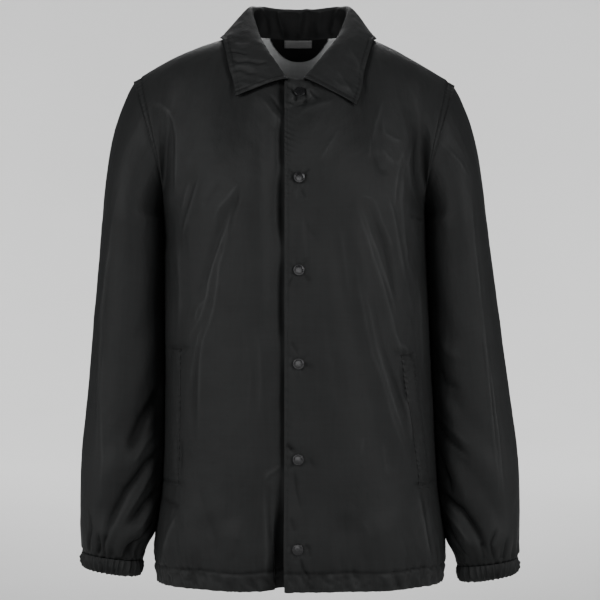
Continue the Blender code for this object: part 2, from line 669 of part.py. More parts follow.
def add_wall(name, outer, inner, material, ring=False, flip=False):
    """A closed wall between an outer and an inner grid of the same size."""
    rows, columns = outer.shape[:2]
    vertices = np.concatenate([leaned(outer).reshape(-1, 3), leaned(inner).reshape(-1, 3)])
    inside = rows * columns
    faces = []
    for r in range(rows - 1):
        for c in range(columns if ring else columns - 1):
            d = (c + 1) % columns
            a, b = r * columns + c, r * columns + d
            e, f = (r + 1) * columns + d, (r + 1) * columns + c
            rising = np.linalg.norm(vertices[a] - vertices[e]) < np.linalg.norm(vertices[b] - vertices[f])
            pair = ((a, b, e), (a, e, f)) if rising else ((a, b, f), (b, e, f))
            faces += pair
            faces += [tuple(inside + v for v in reversed(corner)) for corner in pair]
    top = (rows - 1) * columns
    for c in range(columns if ring else columns - 1):
        d = (c + 1) % columns
        faces.append((c, inside + c, inside + d, d))
        faces.append((top + c, top + d, inside + top + d, inside + top + c))
    if not ring:
        for r in range(rows - 1):
            a, b = r * columns, (r + 1) * columns
            e, f = a + columns - 1, b + columns - 1
            faces.append((a, b, inside + b, inside + a))
            faces.append((e, inside + e, inside + f, f))
    if flip:
        faces = [tuple(reversed(face)) for face in faces]
    return add_object(name, vertices, faces, material)


def add_snap(name, place, normal, material):
    """A snap's cap: a turned profile, domed inside a rolled rim, standing on the cloth."""
    profile = (
        (0.0, SNAP_HEIGHT),
        (0.55, SNAP_HEIGHT * 0.97),
        (0.80, SNAP_HEIGHT * 0.84),
        (0.94, SNAP_HEIGHT * 0.58),
        (1.00, SNAP_HEIGHT * 0.28),
        (0.95, 0.0),
        (0.0, 0.0),
    )
    mesh = bpy.data.meshes.new(name)
    points = [(radius * SNAP_RADIUS, 0.0, height) for radius, height in profile]
    mesh.from_pydata(points, [(i, i + 1) for i in range(len(points) - 1)], [])
    mesh.materials.append(material)
    made = bpy.data.objects.new(name, mesh)
    bpy.context.scene.collection.objects.link(made)
    turned = made.modifiers.new("turned", "SCREW")
    turned.steps = turned.render_steps = 14
    turned.use_merge_vertices = True
    turned.merge_threshold = 0.00001
    turned.use_smooth_shade = True
    up = unit(np.asarray(normal))
    side = unit(np.cross((0.0, 0.0, 1.0), up))
    made.matrix_world = bpy_matrix(side, np.cross(up, side), up, place)
    return made


def bpy_matrix(x_axis, y_axis, z_axis, place):
    columns = np.stack([x_axis, y_axis, z_axis, place], axis=1)
    return [tuple(row) for row in np.vstack([columns, (0.0, 0.0, 0.0, 1.0)]).T]


def clear_scene():
    for old in list(bpy.data.objects):
        bpy.data.objects.remove(old)


def lap_lift(shares):
    """How far the upper front's free edge stands off, column by column."""
    return LAP_LIFT * smooth((-shares - 0.02) / (LAP - 0.02))


def lap_drop(shares):
    """How far the lower front lies behind the upper one, column by column."""
    return -LAP_DROP * smooth((0.125 + shares) / 0.042)


def body_panels():
    """The two fronts, lapped left over right, and the back."""
    shoulder = np.linspace(NECK_SHARE, 1.0, SHOULDER_COLUMNS + 1)[1:]
    spread = np.concatenate([np.linspace(0.165, NECK_SHARE, NECK_COLUMNS), shoulder])
    upper = np.concatenate([[-LAP, -0.035, COLLAR_END[1], 0.095], spread])
    lower = -np.concatenate([[-UNDERLAP, 0.0, 0.083, COLLAR_END[-1], 0.13], spread])
    half_back = np.concatenate([np.linspace(0.0, NECK_SHARE, NECK_COLUMNS + 1), shoulder])
    left = Panel("front", upper, FRONT_FOLDS, lap_lift)
    right = Panel("front", lower, FRONT_FOLDS, lap_drop)
    back = Panel("back", np.concatenate([-half_back[:0:-1], half_back]), BACK_FOLDS)
    return {"left": left, "right": right, "back": back}


def main():
    clear_scene()
    shell = finish("shell_cloth", (0.021, 0.022, 0.022), 0.45, 0.0)
    facing = finish("neck_facing_cloth", (0.012, 0.012, 0.012), 0.6, 0.0)
    label = finish("label_cloth", (0.22, 0.22, 0.22), 0.7, 0.0)
    metal = finish("snap_metal", (0.16, 0.16, 0.165), 0.35, 0.9)
    panels = body_panels()
    back = panels["back"]
    for side, word in ((1, "left"), (-1, "right")):
        grid, normals, armhole_normals = sleeve_grid(panels[word], back, side)
        join_armhole(panels[word], back, side, normals, armhole_normals)
        add_wall(f"sleeve_{word}", grid, grid - normals * CLOTH, shell, ring=True, flip=side < 0)
        cuff, cuff_normals = cuff_grid(side)
        add_wall(f"cuff_{word}", cuff, cuff - cuff_normals * CUFF_CLOTH, shell, ring=True, flip=side < 0)
        points, welt_normals = welt_grid(panels[word], side)
        add_wall(f"pocket_welt_{word}", points, points - welt_normals * CLOTH, shell, flip=side > 0)
        outer, inner = panels[word].wall()
        add_wall(f"front_{word}", outer, inner, shell, flip=side < 0)
    add_wall("back", *back.wall(), shell, flip=True)
    collar = collar_grid(panels)
    under = grid_normals(collar)
    under[0] = unit(under[0] * (1.0, 1.0, 0.0))
    add_wall("collar", collar, collar - under * COLLAR_CLOTH, shell)
    points, normals = facing_grid(back)
    add_wall("neck_facing", points, points - normals * INSIDE_CLOTH, facing)
    points, normals = label_grid(back)
    add_wall("neck_label", points, points - normals * INSIDE_CLOTH, label)
    for number, height in enumerate(SNAP_HEIGHTS, 1):
        share = SNAP_DRIFT * height / SNAP_HEIGHTS[-1]
        level = panels["left"].level_of(share, height)
        add_snap(f"snap_{number}", *snap_seat(panels["left"], share, level), metal)


main()
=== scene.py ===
# %% [markdown]
# # A coach windbreaker in thin black nylon
#
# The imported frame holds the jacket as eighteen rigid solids, so every size is settled before this
# script starts. Here it gets its looks: each sewn piece becomes a thin, creased shell of cloth on its
# solid's own form, and stitches, snaps and finishes follow. Sizes are in metres, +Z is up, the front
# faces -Y and the wearer's left is +X. The origin is in the middle of the neck.

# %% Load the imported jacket
import json
import math
from collections import namedtuple

import bpy
import numpy as np
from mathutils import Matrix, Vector, noise

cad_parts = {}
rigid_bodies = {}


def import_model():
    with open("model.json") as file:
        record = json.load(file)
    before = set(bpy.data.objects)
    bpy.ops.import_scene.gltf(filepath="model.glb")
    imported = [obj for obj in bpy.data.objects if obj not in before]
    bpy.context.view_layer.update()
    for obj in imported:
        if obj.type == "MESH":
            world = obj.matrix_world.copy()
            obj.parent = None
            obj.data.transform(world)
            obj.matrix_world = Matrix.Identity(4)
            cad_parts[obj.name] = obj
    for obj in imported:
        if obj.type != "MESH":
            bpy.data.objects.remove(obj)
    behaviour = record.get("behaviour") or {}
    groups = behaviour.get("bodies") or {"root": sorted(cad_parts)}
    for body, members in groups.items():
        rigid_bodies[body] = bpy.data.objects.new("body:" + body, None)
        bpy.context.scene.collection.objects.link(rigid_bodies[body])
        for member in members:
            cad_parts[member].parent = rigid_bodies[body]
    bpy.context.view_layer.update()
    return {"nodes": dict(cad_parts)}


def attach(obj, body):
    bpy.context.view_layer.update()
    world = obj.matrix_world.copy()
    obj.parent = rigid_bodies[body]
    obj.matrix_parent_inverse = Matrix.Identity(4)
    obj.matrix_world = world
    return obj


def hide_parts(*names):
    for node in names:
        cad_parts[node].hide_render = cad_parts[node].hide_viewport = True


for old in list(bpy.data.objects):
    bpy.data.objects.remove(old)
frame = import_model()

# %% [markdown]
# ## Camera
#
# The jacket was photographed straight on and from far enough away that its sides hardly spread. One
# pixel covers 1.37 mm at the jacket's middle, so the lens follows from the distance.

# %% Camera
PIXEL = 0.00137
PICTURE = 600
SENSOR = 36.0
CAMERA_REACH = 2.6
CAMERA_HEIGHT = -0.356


def link(name, data):
    """A new object in the scene, at the origin."""
    made = bpy.data.objects.new(name, data)
    bpy.context.scene.collection.objects.link(made)
    return made


def place_camera():
    lens = bpy.data.cameras.new("camera")
    lens.sensor_width = SENSOR
    lens.lens = SENSOR * CAMERA_REACH / (PICTURE * PIXEL)
    camera = link("camera", lens)
    camera.location = (0.0, -CAMERA_REACH, CAMERA_HEIGHT)
    camera.rotation_euler = (math.pi / 2, 0.0, 0.0)
    bpy.context.scene.camera = camera
    print("lens %.1f mm" % lens.lens)


place_camera()

# %% [markdown]
# ## Shader maths as expressions
#
# A finish is a small web of nodes. Written node by node it is hard to follow, so one class wraps a
# socket and lets Python's own operators add the Math nodes. `Finish.node` makes any other node.

# %% Sockets with operators


class Value:
    """A number that changes over a surface; arithmetic on it adds Math nodes."""

    def __init__(self, finish, socket):
        self.finish, self.socket = finish, socket

    def maths(self, operation, first, second=0.0):
        made = self.finish.node("ShaderNodeMath", {"operation": operation}, {0: first, 1: second})
        return Value(self.finish, made.outputs[0])

    def __add__(self, other):
        return self.maths("ADD", self, other)

    def __mul__(self, other):
        return self.maths("MULTIPLY", self, other)

    def __sub__(self, other):
        return self.maths("SUBTRACT", self, other)

    def __rsub__(self, other):
        return self.maths("SUBTRACT", other, self)

    __radd__ = __add__
    __rmul__ = __mul__

    def sine(self):
        return self.maths("SINE", self)


class Finish:
    """A Principled material and the ways to add nodes to it."""

    def __init__(self, name, **constants):
        self.material = bpy.data.materials.new(name)
        self.material.use_nodes = True
        self.tree = self.material.node_tree
        self.shader = self.tree.nodes["Principled BSDF"]
        for socket, value in constants.items():
            self.shader.inputs[socket.replace("_", " ")].default_value = value

    def node(self, kind, settings=None, sockets=None):
        made = self.tree.nodes.new(kind)
        for name, value in (settings or {}).items():
            setattr(made, name, value)
        for name, value in (sockets or {}).items():
            self.feed(made.inputs[name], value)
        return made

    def feed(self, socket, value):
        if isinstance(value, Value):
            value = value.socket
        if isinstance(value, bpy.types.NodeSocket):
            self.tree.links.new(value, socket)
        else:
            socket.default_value = value

    def shade(self, **sockets):
        for name, value in sockets.items():
            self.feed(self.shader.inputs[name.replace("_", " ")], value)

    def noise(self, coordinates, scale, detail=3.0, stretch=(1.0, 1.0, 1.0)):
        mapped = self.node("ShaderNodeMapping", {}, {"Vector": coordinates, "Scale": stretch})
        settings = {"Vector": mapped.outputs[0], "Scale": scale, "Detail": detail}
        return Value(self, self.node("ShaderNodeTexNoise", {}, settings).outputs["Fac"])

    def blend(self, factor, first, second):
        settings = {"data_type": "RGBA", "clamp_factor": False}
        made = self.node("ShaderNodeMix", settings, {0: factor, 6: first, 7: second})
        return made.outputs[2]

    def bump(self, height, distance, strength=1.0):
        sockets = {"Height": height, "Distance": distance, "Strength": strength}
        return self.node("ShaderNodeBump", {}, sockets).outputs[0]


# %% [markdown]
# ## The finishes
#
# The shell is a plain-woven nylon taffeta: nearly black, with a satin sheen, faint streaks where the
# yarn varies, and a crisp weave that only shows close up. Its reverse is coated in pale grey, which is
# what shows inside the neck. Weave and streaks read the cloth's own UV map, which is in metres, so they
# keep their size and follow the cut of every piece.

# %% Woven finishes
YARN = 0.00042
UV_NAME, PAINTED_LIGHT_NAME = "cloth", "crest"
PAINTED_LIGHT_GAIN = 1.9
WEAVE_HEIGHT, CRINKLE_HEIGHT, GRAIN_HEIGHT = 0.00002, 0.0007, 0.00022
FACING_YARN, FACING_WEAVE = 0.0007, 0.00006
LABEL_YARN, LABEL_WEAVE = 0.0006, 0.00005
Pattern = namedtuple("Pattern", "scale detail stretch")
STREAKS = Pattern(260.0, 2.0, (1.0, 0.06, 1.0))
PICKS = Pattern(300.0, 2.0, (0.05, 1.0, 1.0))
CLOUDS = Pattern(13.0, 5.0, (1.0, 1.0, 1.0))
CRINKLE = Pattern(95.0, 3.0, (1.0, 0.6, 1.0))
GRAIN = Pattern(420.0, 2.0, (1.0, 0.7, 1.0))


def cloth_axes(finish):
    """The UV map in metres as a vector and as two values."""
    uv = finish.node("ShaderNodeUVMap", {"uv_map": UV_NAME}).outputs[0]
    parts = finish.node("ShaderNodeSeparateXYZ", {}, {0: uv})
    return uv, Value(finish, parts.outputs[0]), Value(finish, parts.outputs[1])


def weave_height(across, along, yarn):
    """A plain weave: yarns rise and dip in turn, both ways."""
    turn = math.pi / yarn
    return (across * turn).sine() * (along * turn).sine()


def woven(name, dark, light, rough, yarn=YARN, weave=WEAVE_HEIGHT, **constants):
    finish = Finish(name, **constants)
    uv, across, along = cloth_axes(finish)
    crest = Value(finish, finish.node("ShaderNodeAttribute", {"attribute_name": PAINTED_LIGHT_NAME}).outputs["Fac"])
    streaks = finish.noise(uv, *STREAKS)
    picks = finish.noise(uv, *PICKS)
    clouds = finish.noise(uv, *CLOUDS)
    crinkle = finish.noise(uv, *CRINKLE)
    grain = finish.noise(uv, *GRAIN)
    # tone takes the painted light layer: painted highlights on crease crests, painted shade in troughs and
    # along stitches.
    tone = streaks * 0.75 + picks * 0.65 + clouds * 1.6 - 1.0 + crest * PAINTED_LIGHT_GAIN
    height = weave_height(across, along, yarn) * weave + crinkle * CRINKLE_HEIGHT + grain * GRAIN_HEIGHT
    finish.shade(
        Base_Color=finish.blend(tone, (*dark, 1.0), (*light, 1.0)),
        Roughness=rough + (streaks - 0.5) * 0.10 + (clouds - 0.5) * 0.12 - crest * 0.12,
        Normal=finish.bump(height, 1.0, 0.75),
    )
    return finish.material


def make_finishes():
    nylon = dict(Specular_IOR_Level=0.10)
    return {
        "shell": woven("black_nylon", (0.0070, 0.0073, 0.0073), (0.0115, 0.0119, 0.0119), 0.60, **nylon),
        # The "inside" finish is the black nylon painted darker: painted shade on the collar stand inside
        # the neck.
        "inside": woven("collar_inside", (0.0016, 0.0017, 0.0017), (0.0034, 0.0035, 0.0035), 0.7, **nylon),
        "reverse": woven("coated_reverse", (0.22, 0.224, 0.224), (0.29, 0.294, 0.294), 0.55),
        "facing": woven(
            "facing_twill", (0.002,) * 3, (0.004,) * 3, 0.7, FACING_YARN, FACING_WEAVE, **nylon
        ),
        "label": woven("label_satin", (0.075,) * 3, (0.11,) * 3, 0.5, LABEL_YARN, LABEL_WEAVE),
    }


FINISHES = make_finishes()
print("cloth finishes", sorted(FINISHES))

# %% [markdown]
# The snaps are stamped brass with a gunmetal lacquer. Lacquer is even, so only faint clouds on Object
# coordinates are added, and a duller rim painted darker: a painted shadow ring, for the shade in the gap
# under the cap's edge. Which points are in that ring is a layer of the cap's own mesh, so the painted
# shadow stays on it however the cap is turned.

# %% Lacquered metal
SHADOW_RING_NAME = "rim"


def lacquered_metal():
    finish = Finish("gunmetal_lacquer", Metallic=0.85, Coat_Weight=0.25, Coat_Roughness=0.2)
    place = finish.node("ShaderNodeTexCoord").outputs["Object"]
    clouds = finish.noise(place, 420.0, 4.0)
    # rim: the painted shadow ring at the cap's edge, darker and duller.
    rim = Value(finish, finish.node("ShaderNodeAttribute", {"attribute_name": SHADOW_RING_NAME}).outputs["Fac"])
    lacquer_clouds_and_shadow_ring = clouds * 0.9 - rim * 0.55
    finish.shade(
        Base_Color=finish.blend(lacquer_clouds_and_shadow_ring, (0.008, 0.008, 0.0084, 1.0), (0.033, 0.033, 0.034, 1.0)),
        Roughness=clouds * 0.16 + 0.18 + rim * 0.3,
        Normal=finish.bump(clouds, 0.00004, 0.4),
    )
    return finish.material


FINISHES["snap"] = lacquered_metal()

# %% [markdown]
# ## Floor and light
#
# A sweep, which is a floor that curves up into a wall, keeps a horizon out of the picture. Black cloth
# shows its creases only by what it reflects, so large soft boxes stand on both sides of the front,
# weaker ones fill the sides, and one high behind does the same for the back.

# %% Floor and light
FLOOR_HEIGHT = -0.86
SWEEP = ((-4.0, 0.0), (2.7, 0.0), (3.4, 0.09), (3.9, 0.4), (4.15, 0.95), (4.2, 3.6))
SWEEP_HALF_WIDTH = 1.6
SoftBox = namedtuple("SoftBox", "name place aim size power")
SOFT_BOXES = (
    SoftBox("key_left", (-2.3, -2.2, 0.9), (0.0, 0.0, -0.30), 1.4, 96.0),
    SoftBox("key_right", (2.3, -2.2, 0.8), (0.0, 0.0, -0.30), 1.4, 90.0),
    SoftBox("side_left", (-2.8, -0.7, -0.1), (0.0, 0.0, -0.35), 1.4, 22.0),
    SoftBox("side_right", (2.8, -0.7, -0.1), (0.0, 0.0, -0.35), 1.4, 22.0),
    SoftBox("low", (0.0, -3.2, -0.5), (0.0, 0.0, -0.40), 1.6, 28.0),
    SoftBox("top", (0.0, 1.9, 2.4), (0.0, 2.5, -0.8), 1.6, 30.0),
    SoftBox("rear", (0.0, 2.9, 1.75), (0.0, 0.0, -0.35), 1.4, 64.0),
    SoftBox("wall_left", (-1.9, 2.6, 0.3), (0.2, 4.1, -0.1), 0.9, 20.0),
    SoftBox("wall_right", (1.9, 2.6, 0.3), (-0.2, 4.1, -0.1), 0.9, 20.0),
)
WORLD_STRENGTH, WORLD_COLOUR = 0.16, (0.93, 0.95, 1.0, 1.0)


def make_sweep():
    points = [(x, y, FLOOR_HEIGHT + z) for y, z in SWEEP for x in (-SWEEP_HALF_WIDTH, SWEEP_HALF_WIDTH)]
    faces = [(2 * i, 2 * i + 1, 2 * i + 3, 2 * i + 2) for i in range(len(SWEEP) - 1)]
    mesh = bpy.data.meshes.new("sweep")
    mesh.from_pydata(points, [], faces)
    mesh.shade_smooth()
    finish = Finish("pale_floor", Roughness=0.9, Specular_IOR_Level=0.2)
    place = finish.node("ShaderNodeTexCoord").outputs["Object"]
    tone = finish.noise(place, 3.0)
    finish.shade(Base_Color=finish.blend(tone, (0.70, 0.70, 0.695, 1.0), (0.74, 0.74, 0.735, 1.0)))
    mesh.materials.append(finish.material)
    sweep = link("sweep", mesh)
    smoothed = sweep.modifiers.new("smoothed", "SUBSURF")
    smoothed.levels = smoothed.render_levels = 3


def make_lights():
    for box in SOFT_BOXES:
        lamp = bpy.data.lights.new(box.name, "AREA")
        lamp.size = box.size
        lamp.energy = box.power
        light = link(box.name, lamp)
        light.location = box.place
        aim = Vector(box.aim) - Vector(box.place)
        light.rotation_euler = aim.to_track_quat("-Z", "Y").to_euler()
    world = bpy.data.worlds.new("studio")
    world.use_nodes = True
    sky = world.node_tree.nodes["Background"]
    sky.inputs["Color"].default_value = WORLD_COLOUR
    sky.inputs["Strength"].default_value = WORLD_STRENGTH
    bpy.context.scene.world = world


make_sweep()
make_lights()
print("soft boxes", len(SOFT_BOXES))

# %% [markdown]
# ## The jacket's form
#
# The body is a rounded box: at every height its section is a superellipse, between an ellipse and a
# rectangle. Above the underarm, curves carry each column of cloth in to the neckline and the shoulder.
# The same named sizes shaped the solids, so the cloth lies where they are. A place on a panel is a
# share (0 in the middle, 1 at the side seam) and a level (0 hem, 1 underarm, 2 neckline and shoulder).

# %% Sizes of the body
HEM, ARMPIT = -0.737, -0.240
HALF_PANEL = 0.27
LOWER_LENGTH, UPPER_LENGTH = 0.497, 0.235
HEM_DEPTH = 0.025
SEAM_GAP = 0.0003
NECK_POINT = np.array([0.074, 0.004, 0.010])
SHOULDER_TIP = np.array([0.220, 0.000, -0.057])
SHOULDER_ARCH = 0.008
NECK_SHARE = 0.44
NECK_MIDDLE = {"front": (-0.095, -0.066), "back": (0.068, 0.010)}
SQUARENESS = 2.35
LAP, UNDERLAP = 0.077, 0.068
LAP_DROP, LAP_LIFT = 0.0034, 0.0015
SHOULDER_LEAN, SHOULDER_DIP = 0.008, 0.005
LEAN_START, LEAN_RUN = 0.06, 0.13
LEAN_LEVEL, LEAN_RISE = -0.60, 0.42
DIP_LEVEL, DIP_RISE = -0.40, 0.30
SECTION_STEPS = 181
TorsoRing = namedtuple("TorsoRing", "height half_width front back")
TORSO = (
    TorsoRing(-0.737, 0.1945, 0.131, 0.120),
    TorsoRing(-0.700, 0.1990, 0.138, 0.125),
    TorsoRing(-0.612, 0.1885, 0.140, 0.124),
    TorsoRing(-0.493, 0.1830, 0.141, 0.122),
    TorsoRing(-0.356, 0.1800, 0.143, 0.124),
    TorsoRing(-0.240, 0.1790, 0.141, 0.128),
)
RISE_SHARE, RISE_LEAN = 0.36, 0.03
ARM_HANDLE = np.array([-0.008, 0.080, 0.050])
NECK_HANDLE = np.array([0.0, 0.046, -0.062])
SHOULDER_HANDLE = np.array([0.0, 0.070, -0.008])
TIP_HANDLE = np.array([-0.013, 0.086, -0.046])

# %% Curves and grids


def smooth(value):
    """0 below 0, 1 above 1 and an even S between them."""
    value = np.clip(value, 0.0, 1.0)
    return value * value * (3.0 - 2.0 * value)


def through(knots, values, at):
    """A smooth curve through a table's column, read at the given places."""
    order = np.argsort(knots)
    knots, values = np.asarray(knots, float)[order], np.asarray(values, float)[order]
    slopes = np.gradient(values, knots)
    at = np.clip(at, knots[0], knots[-1])
    left = np.clip(np.searchsorted(knots, at) - 1, 0, len(knots) - 2)
    span = knots[left + 1] - knots[left]
    f = (at - knots[left]) / span
    start = values[left] * (1 + 2 * f) * (1 - f) ** 2 + slopes[left] * span * f * (1 - f) ** 2
    end = values[left + 1] * f * f * (3 - 2 * f) + slopes[left + 1] * span * f * f * (f - 1)
    return start + end


def bezier(p0, p1, p2, p3, f):
    return p0 * (1 - f) ** 3 + 3 * p1 * f * (1 - f) ** 2 + 3 * p2 * f * f * (1 - f) + p3 * f**3


def lengths_from(grid, axis):
    """Metres of cloth from a grid's first row or column to each point."""
    steps = np.linalg.norm(np.diff(grid, axis=axis), axis=2)
    pad = np.zeros_like(steps[:1] if axis == 0 else steps[:, :1])
    return np.concatenate([pad, np.cumsum(steps, axis=axis)], axis=axis)


def unit(vectors):
    return vectors / np.linalg.norm(vectors, axis=-1, keepdims=True)


def grid_normals(points, ring=False):
    """Normals of a grid of rows and columns. With ring, the last column meets the first."""
    if ring:
        across = np.roll(points, -1, axis=1) - np.roll(points, 1, axis=1)
    else:
        across = np.gradient(points, axis=1)
    return unit(np.cross(across, np.gradient(points, axis=0)))


def leaned(points):
    """The worn jacket's shoulders sit a little to one side; neck and hem stay in the middle."""
    points = np.array(points, float)
    x, z = points[..., 0].copy(), points[..., 2].copy()
    outward = smooth((np.abs(x) - LEAN_START) / LEAN_RUN)
    dip = smooth((x - LEAN_START) / LEAN_RUN) * smooth((z - DIP_LEVEL) / DIP_RISE)
    points[..., 0] = x - SHOULDER_LEAN * outward * smooth((z - LEAN_LEVEL) / LEAN_RISE)
    points[..., 2] = z - SHOULDER_DIP * dip
    return points


# %% Points of a body panel


def side_of(shares):
    """1 in the middle and on the wearer's left, -1 on the right."""
    return np.where(shares < 0.0, -1.0, 1.0)


def section(half_width, depth, shares):
    """Points of a rounded quarter section, evenly along it from the middle (0) to the side (1)."""
    turn = np.linspace(0.0, math.pi / 2, SECTION_STEPS)
    x = half_width * np.sin(turn) ** (2 / SQUARENESS)
    y = depth * np.cos(turn) ** (2 / SQUARENESS)
    run = np.concatenate([[0.0], np.cumsum(np.hypot(np.diff(x), np.diff(y)))])
    at = np.abs(shares) * run[-1]
    return np.interp(at, run, x) * side_of(shares), np.interp(at, run, y)


def top_edge(face, shares):
    """Neckline from the middle to the neck point, then the shoulder seam to its tip."""
    size = np.abs(shares)
    turn = np.clip(size / NECK_SHARE, 0.0, 1.0) * math.pi / 2
    middle = np.array([0.0, *NECK_MIDDLE[face]])
    neck = middle + (NECK_POINT - middle) * (1.0 - np.cos(turn))[:, None]
    neck[:, 0] = NECK_POINT[0] * np.sin(turn)
    out = np.clip((size - NECK_SHARE) / (1.0 - NECK_SHARE), 0.0, 1.0)[:, None]
    shoulder = NECK_POINT + (SHOULDER_TIP - NECK_POINT) * out
    shoulder[:, 2] += SHOULDER_ARCH * np.sin(math.pi * out[:, 0])
    points = np.where((size < NECK_SHARE)[:, None], neck, shoulder)
    points[:, 0] *= side_of(shares)
    return points


def upper_handles(face, shares, low, top):
    """Bezier handles of the columns from the underarm level to the top edge."""
    size = np.abs(shares)
    to_arm = smooth((size - 0.75) / 0.25)[:, None]
    to_shoulder = smooth((size - 0.30) / 0.30)[:, None]
    out = np.full_like(size, -1.0 if face == "front" else 1.0)
    mirror = np.stack([side_of(shares), out, np.ones_like(size)], axis=1)
    up = RISE_SHARE * (top[:, 2] - low[:, 2])
    rise = np.stack([np.zeros_like(up), RISE_LEAN * up, up], axis=1)
    first = low + mirror * (rise * (1 - to_arm) + ARM_HANDLE * to_arm)
    reach = NECK_HANDLE * (1 - to_shoulder) + SHOULDER_HANDLE * to_shoulder
    reach = reach * (1 - to_arm) + TIP_HANDLE * to_arm
    return first, top + mirror * reach


def panel_points(face, shares, levels):
    """Grid of a body panel, before any fold."""
    out = -1.0 if face == "front" else 1.0
    heights = [ring.height for ring in TORSO]
    points = np.empty((len(levels), len(shares), 3))
    top = top_edge(face, shares)
    for row, level in enumerate(levels):
        height = HEM + (ARMPIT - HEM) * min(level, 1.0)
        width = through(heights, [ring.half_width for ring in TORSO], height)
        depth = through(heights, [getattr(ring, face) for ring in TORSO], height)
        x, y = section(width, depth, shares)
        points[row] = np.stack([x, out * y, np.full_like(x, height)], axis=1)
        if level > 1.0:
            handles = upper_handles(face, shares, points[row], top)
            points[row] = bezier(points[row], *handles, top, level - 1.0)
    points[..., 1] += out * SEAM_GAP * 0.6
    return points


# %% [markdown]
# ## Folds, creases and crumple
#
# Three things wrinkle a worn nylon jacket. Broad folds fall from where it hangs; those are in the
# solids too. Creases are drawn tight along a line, as a ridge with a trough beside it; they are placed
# one by one, in millimetres, because their places are what makes this jacket look like itself. A step is
# a crease's sharper kin: pressed cloth rises at once and eases back behind its edge. Fine crumple and
# seam puckers are everywhere, so noise and uneven waves make those.

# %% Heights of folds, creases and crumple
Crease = namedtuple("Crease", "points width height trough", defaults=(0.0,))
Pucker = namedtuple("Pucker", "period depth reach")
Groove = namedtuple("Groove", "width depth")
Crumple = namedtuple("Crumple", "height size")
STEP_SHARPNESS = 0.0016
STEP_LIP, STEP_LIP_WIDTH = 0.35, 0.006
STEP_FOOT, STEP_FOOT_WIDTH = 0.3, 0.008
PAINTED_LINE_WIDTH, PAINTED_LINE_FULL = 0.0019, 3.0
TROUGH_SHADE_DEPTH, TROUGH_SHADE_RANGE = 0.0025, 0.005
SOFT_WIDTH, SOFT_RANGE = 10.0, 4.0


def fold_heights(first, second, folds):
    """Sum of soft ridges and troughs, each along a line in the plane of two coordinates."""
    heights = np.zeros_like(first)
    for start_a, start_b, end_a, end_b, width, height in folds:
        run_a, run_b = end_a - start_a, end_b - start_b
        along = ((first - start_a) * run_a + (second - start_b) * run_b) / (run_a**2 + run_b**2)
        nearest = np.clip(along, 0.0, 1.0)
        off = np.hypot(first - start_a - nearest * run_a, second - start_b - nearest * run_b)
        ends = smooth((along + 0.15) / 0.35) * smooth((1.15 - along) / 0.35)
        heights += height * ends * np.exp(-((off / width) ** 2))
    return heights


def nearest_on_line(first, second, points):
    """Signed distance to a broken line (positive on its left) and the share of the way along it."""
    lengths = np.hypot(*np.diff(points, axis=0).T)
    starts = np.concatenate([[0.0], np.cumsum(lengths)])
    best = np.full(first.shape, np.inf)
    side, place = np.zeros_like(first), np.zeros_like(first)
    for (a, b), (c, d), length, start in zip(points, points[1:], lengths, starts):
        along = np.clip(((first - a) * (c - a) + (second - b) * (d - b)) / length**2, 0.0, 1.0)
        off = np.hypot(first - a - along * (c - a), second - b - along * (d - b))
        cross = (c - a) * (second - b) - (d - b) * (first - a)
        closer = off < best
        best = np.where(closer, off, best)
        side = np.where(closer, np.sign(cross), side)
        place = np.where(closer, (start + along * length) / starts[-1], place)
    return best * side, place


def crease_heights(first, second, creases, relief=1.0):
    """Ridges (or troughs) along broken lines, each with a softer trough on one side; and painted light: a
    highlight on narrow crests, shade in narrow troughs and deep ones.
    """
    heights, painted_crease_light = np.zeros_like(first), np.zeros_like(first)
    for crease in creases:
        away, place = nearest_on_line(first, second, np.array(crease.points, float) / 1000)
        ends = smooth(place / 0.30) * smooth((1.0 - place) / 0.30)
        across = away / (crease.width / 1000 * (0.55 + 0.30 * ends))
        beside = np.exp(-(((np.abs(across) - 1.9) / 1.3) ** 2)) * (across * crease.trough > 0)
        shape = 1.0 / (1.0 + across**2) ** 2 - abs(crease.trough) * beside
        heights += crease.height / 1000 * ends * shape * (relief if crease.height > 0 else 1.0)
        # Painted light: a highlight line on each narrow ridge's crest, painted shade on a narrow trough,
        # and painted shade wherever the cloth lies deep.
        sharp = np.clip((SOFT_WIDTH - crease.width) / SOFT_RANGE, 0.0, 1.0)
        strength = np.clip(crease.height / PAINTED_LINE_FULL, -0.4, 1.0) * sharp
        painted_crease_light += strength * ends * np.exp(-((away / PAINTED_LINE_WIDTH) ** 2))
    return heights, painted_crease_light - 0.85 * smooth((-heights - TROUGH_SHADE_DEPTH) / TROUGH_SHADE_RANGE)


def step_heights(first, second, steps):
    """Sharp edges where pressed cloth steps up, the raised side easing back to the level behind it; with a
    painted highlight along each edge.
    """
    heights, painted_crease_light = np.zeros_like(first), np.zeros_like(first)
    for step in steps:
        away, place = nearest_on_line(first, second, np.array(step.points, float) / 1000)
        ends = smooth(place / 0.25) * smooth((1.0 - place) / 0.30)
        up = 0.5 + 0.5 * np.tanh(away / STEP_SHARPNESS)
        ease = np.exp(-np.maximum(away, 0.0) / (step.tail / 1000))
        ease += STEP_LIP * np.exp(-np.abs(away) / STEP_LIP_WIDTH) - STEP_LIP
        foot = STEP_FOOT * (1.0 - up) * np.exp(away / STEP_FOOT_WIDTH)
        heights += step.rise / 1000 * ends * (up * ease - foot)
        painted_crease_light += step.rise / PAINTED_LINE_FULL * ends * np.exp(-(((away - STEP_SHARPNESS) / PAINTED_LINE_WIDTH) ** 2))
    return heights, painted_crease_light


def uneven(first, second, size, seed, octaves=3):
    """Smooth noise from about -1 to 1 over two coordinates."""
    spots = np.stack([first / size, second / size], axis=-1).reshape(-1, 2)
    found = [noise.fractal(Vector((a, b, seed)), 1.0, 2.1, octaves) for a, b in spots]
    return np.array(found).reshape(first.shape)


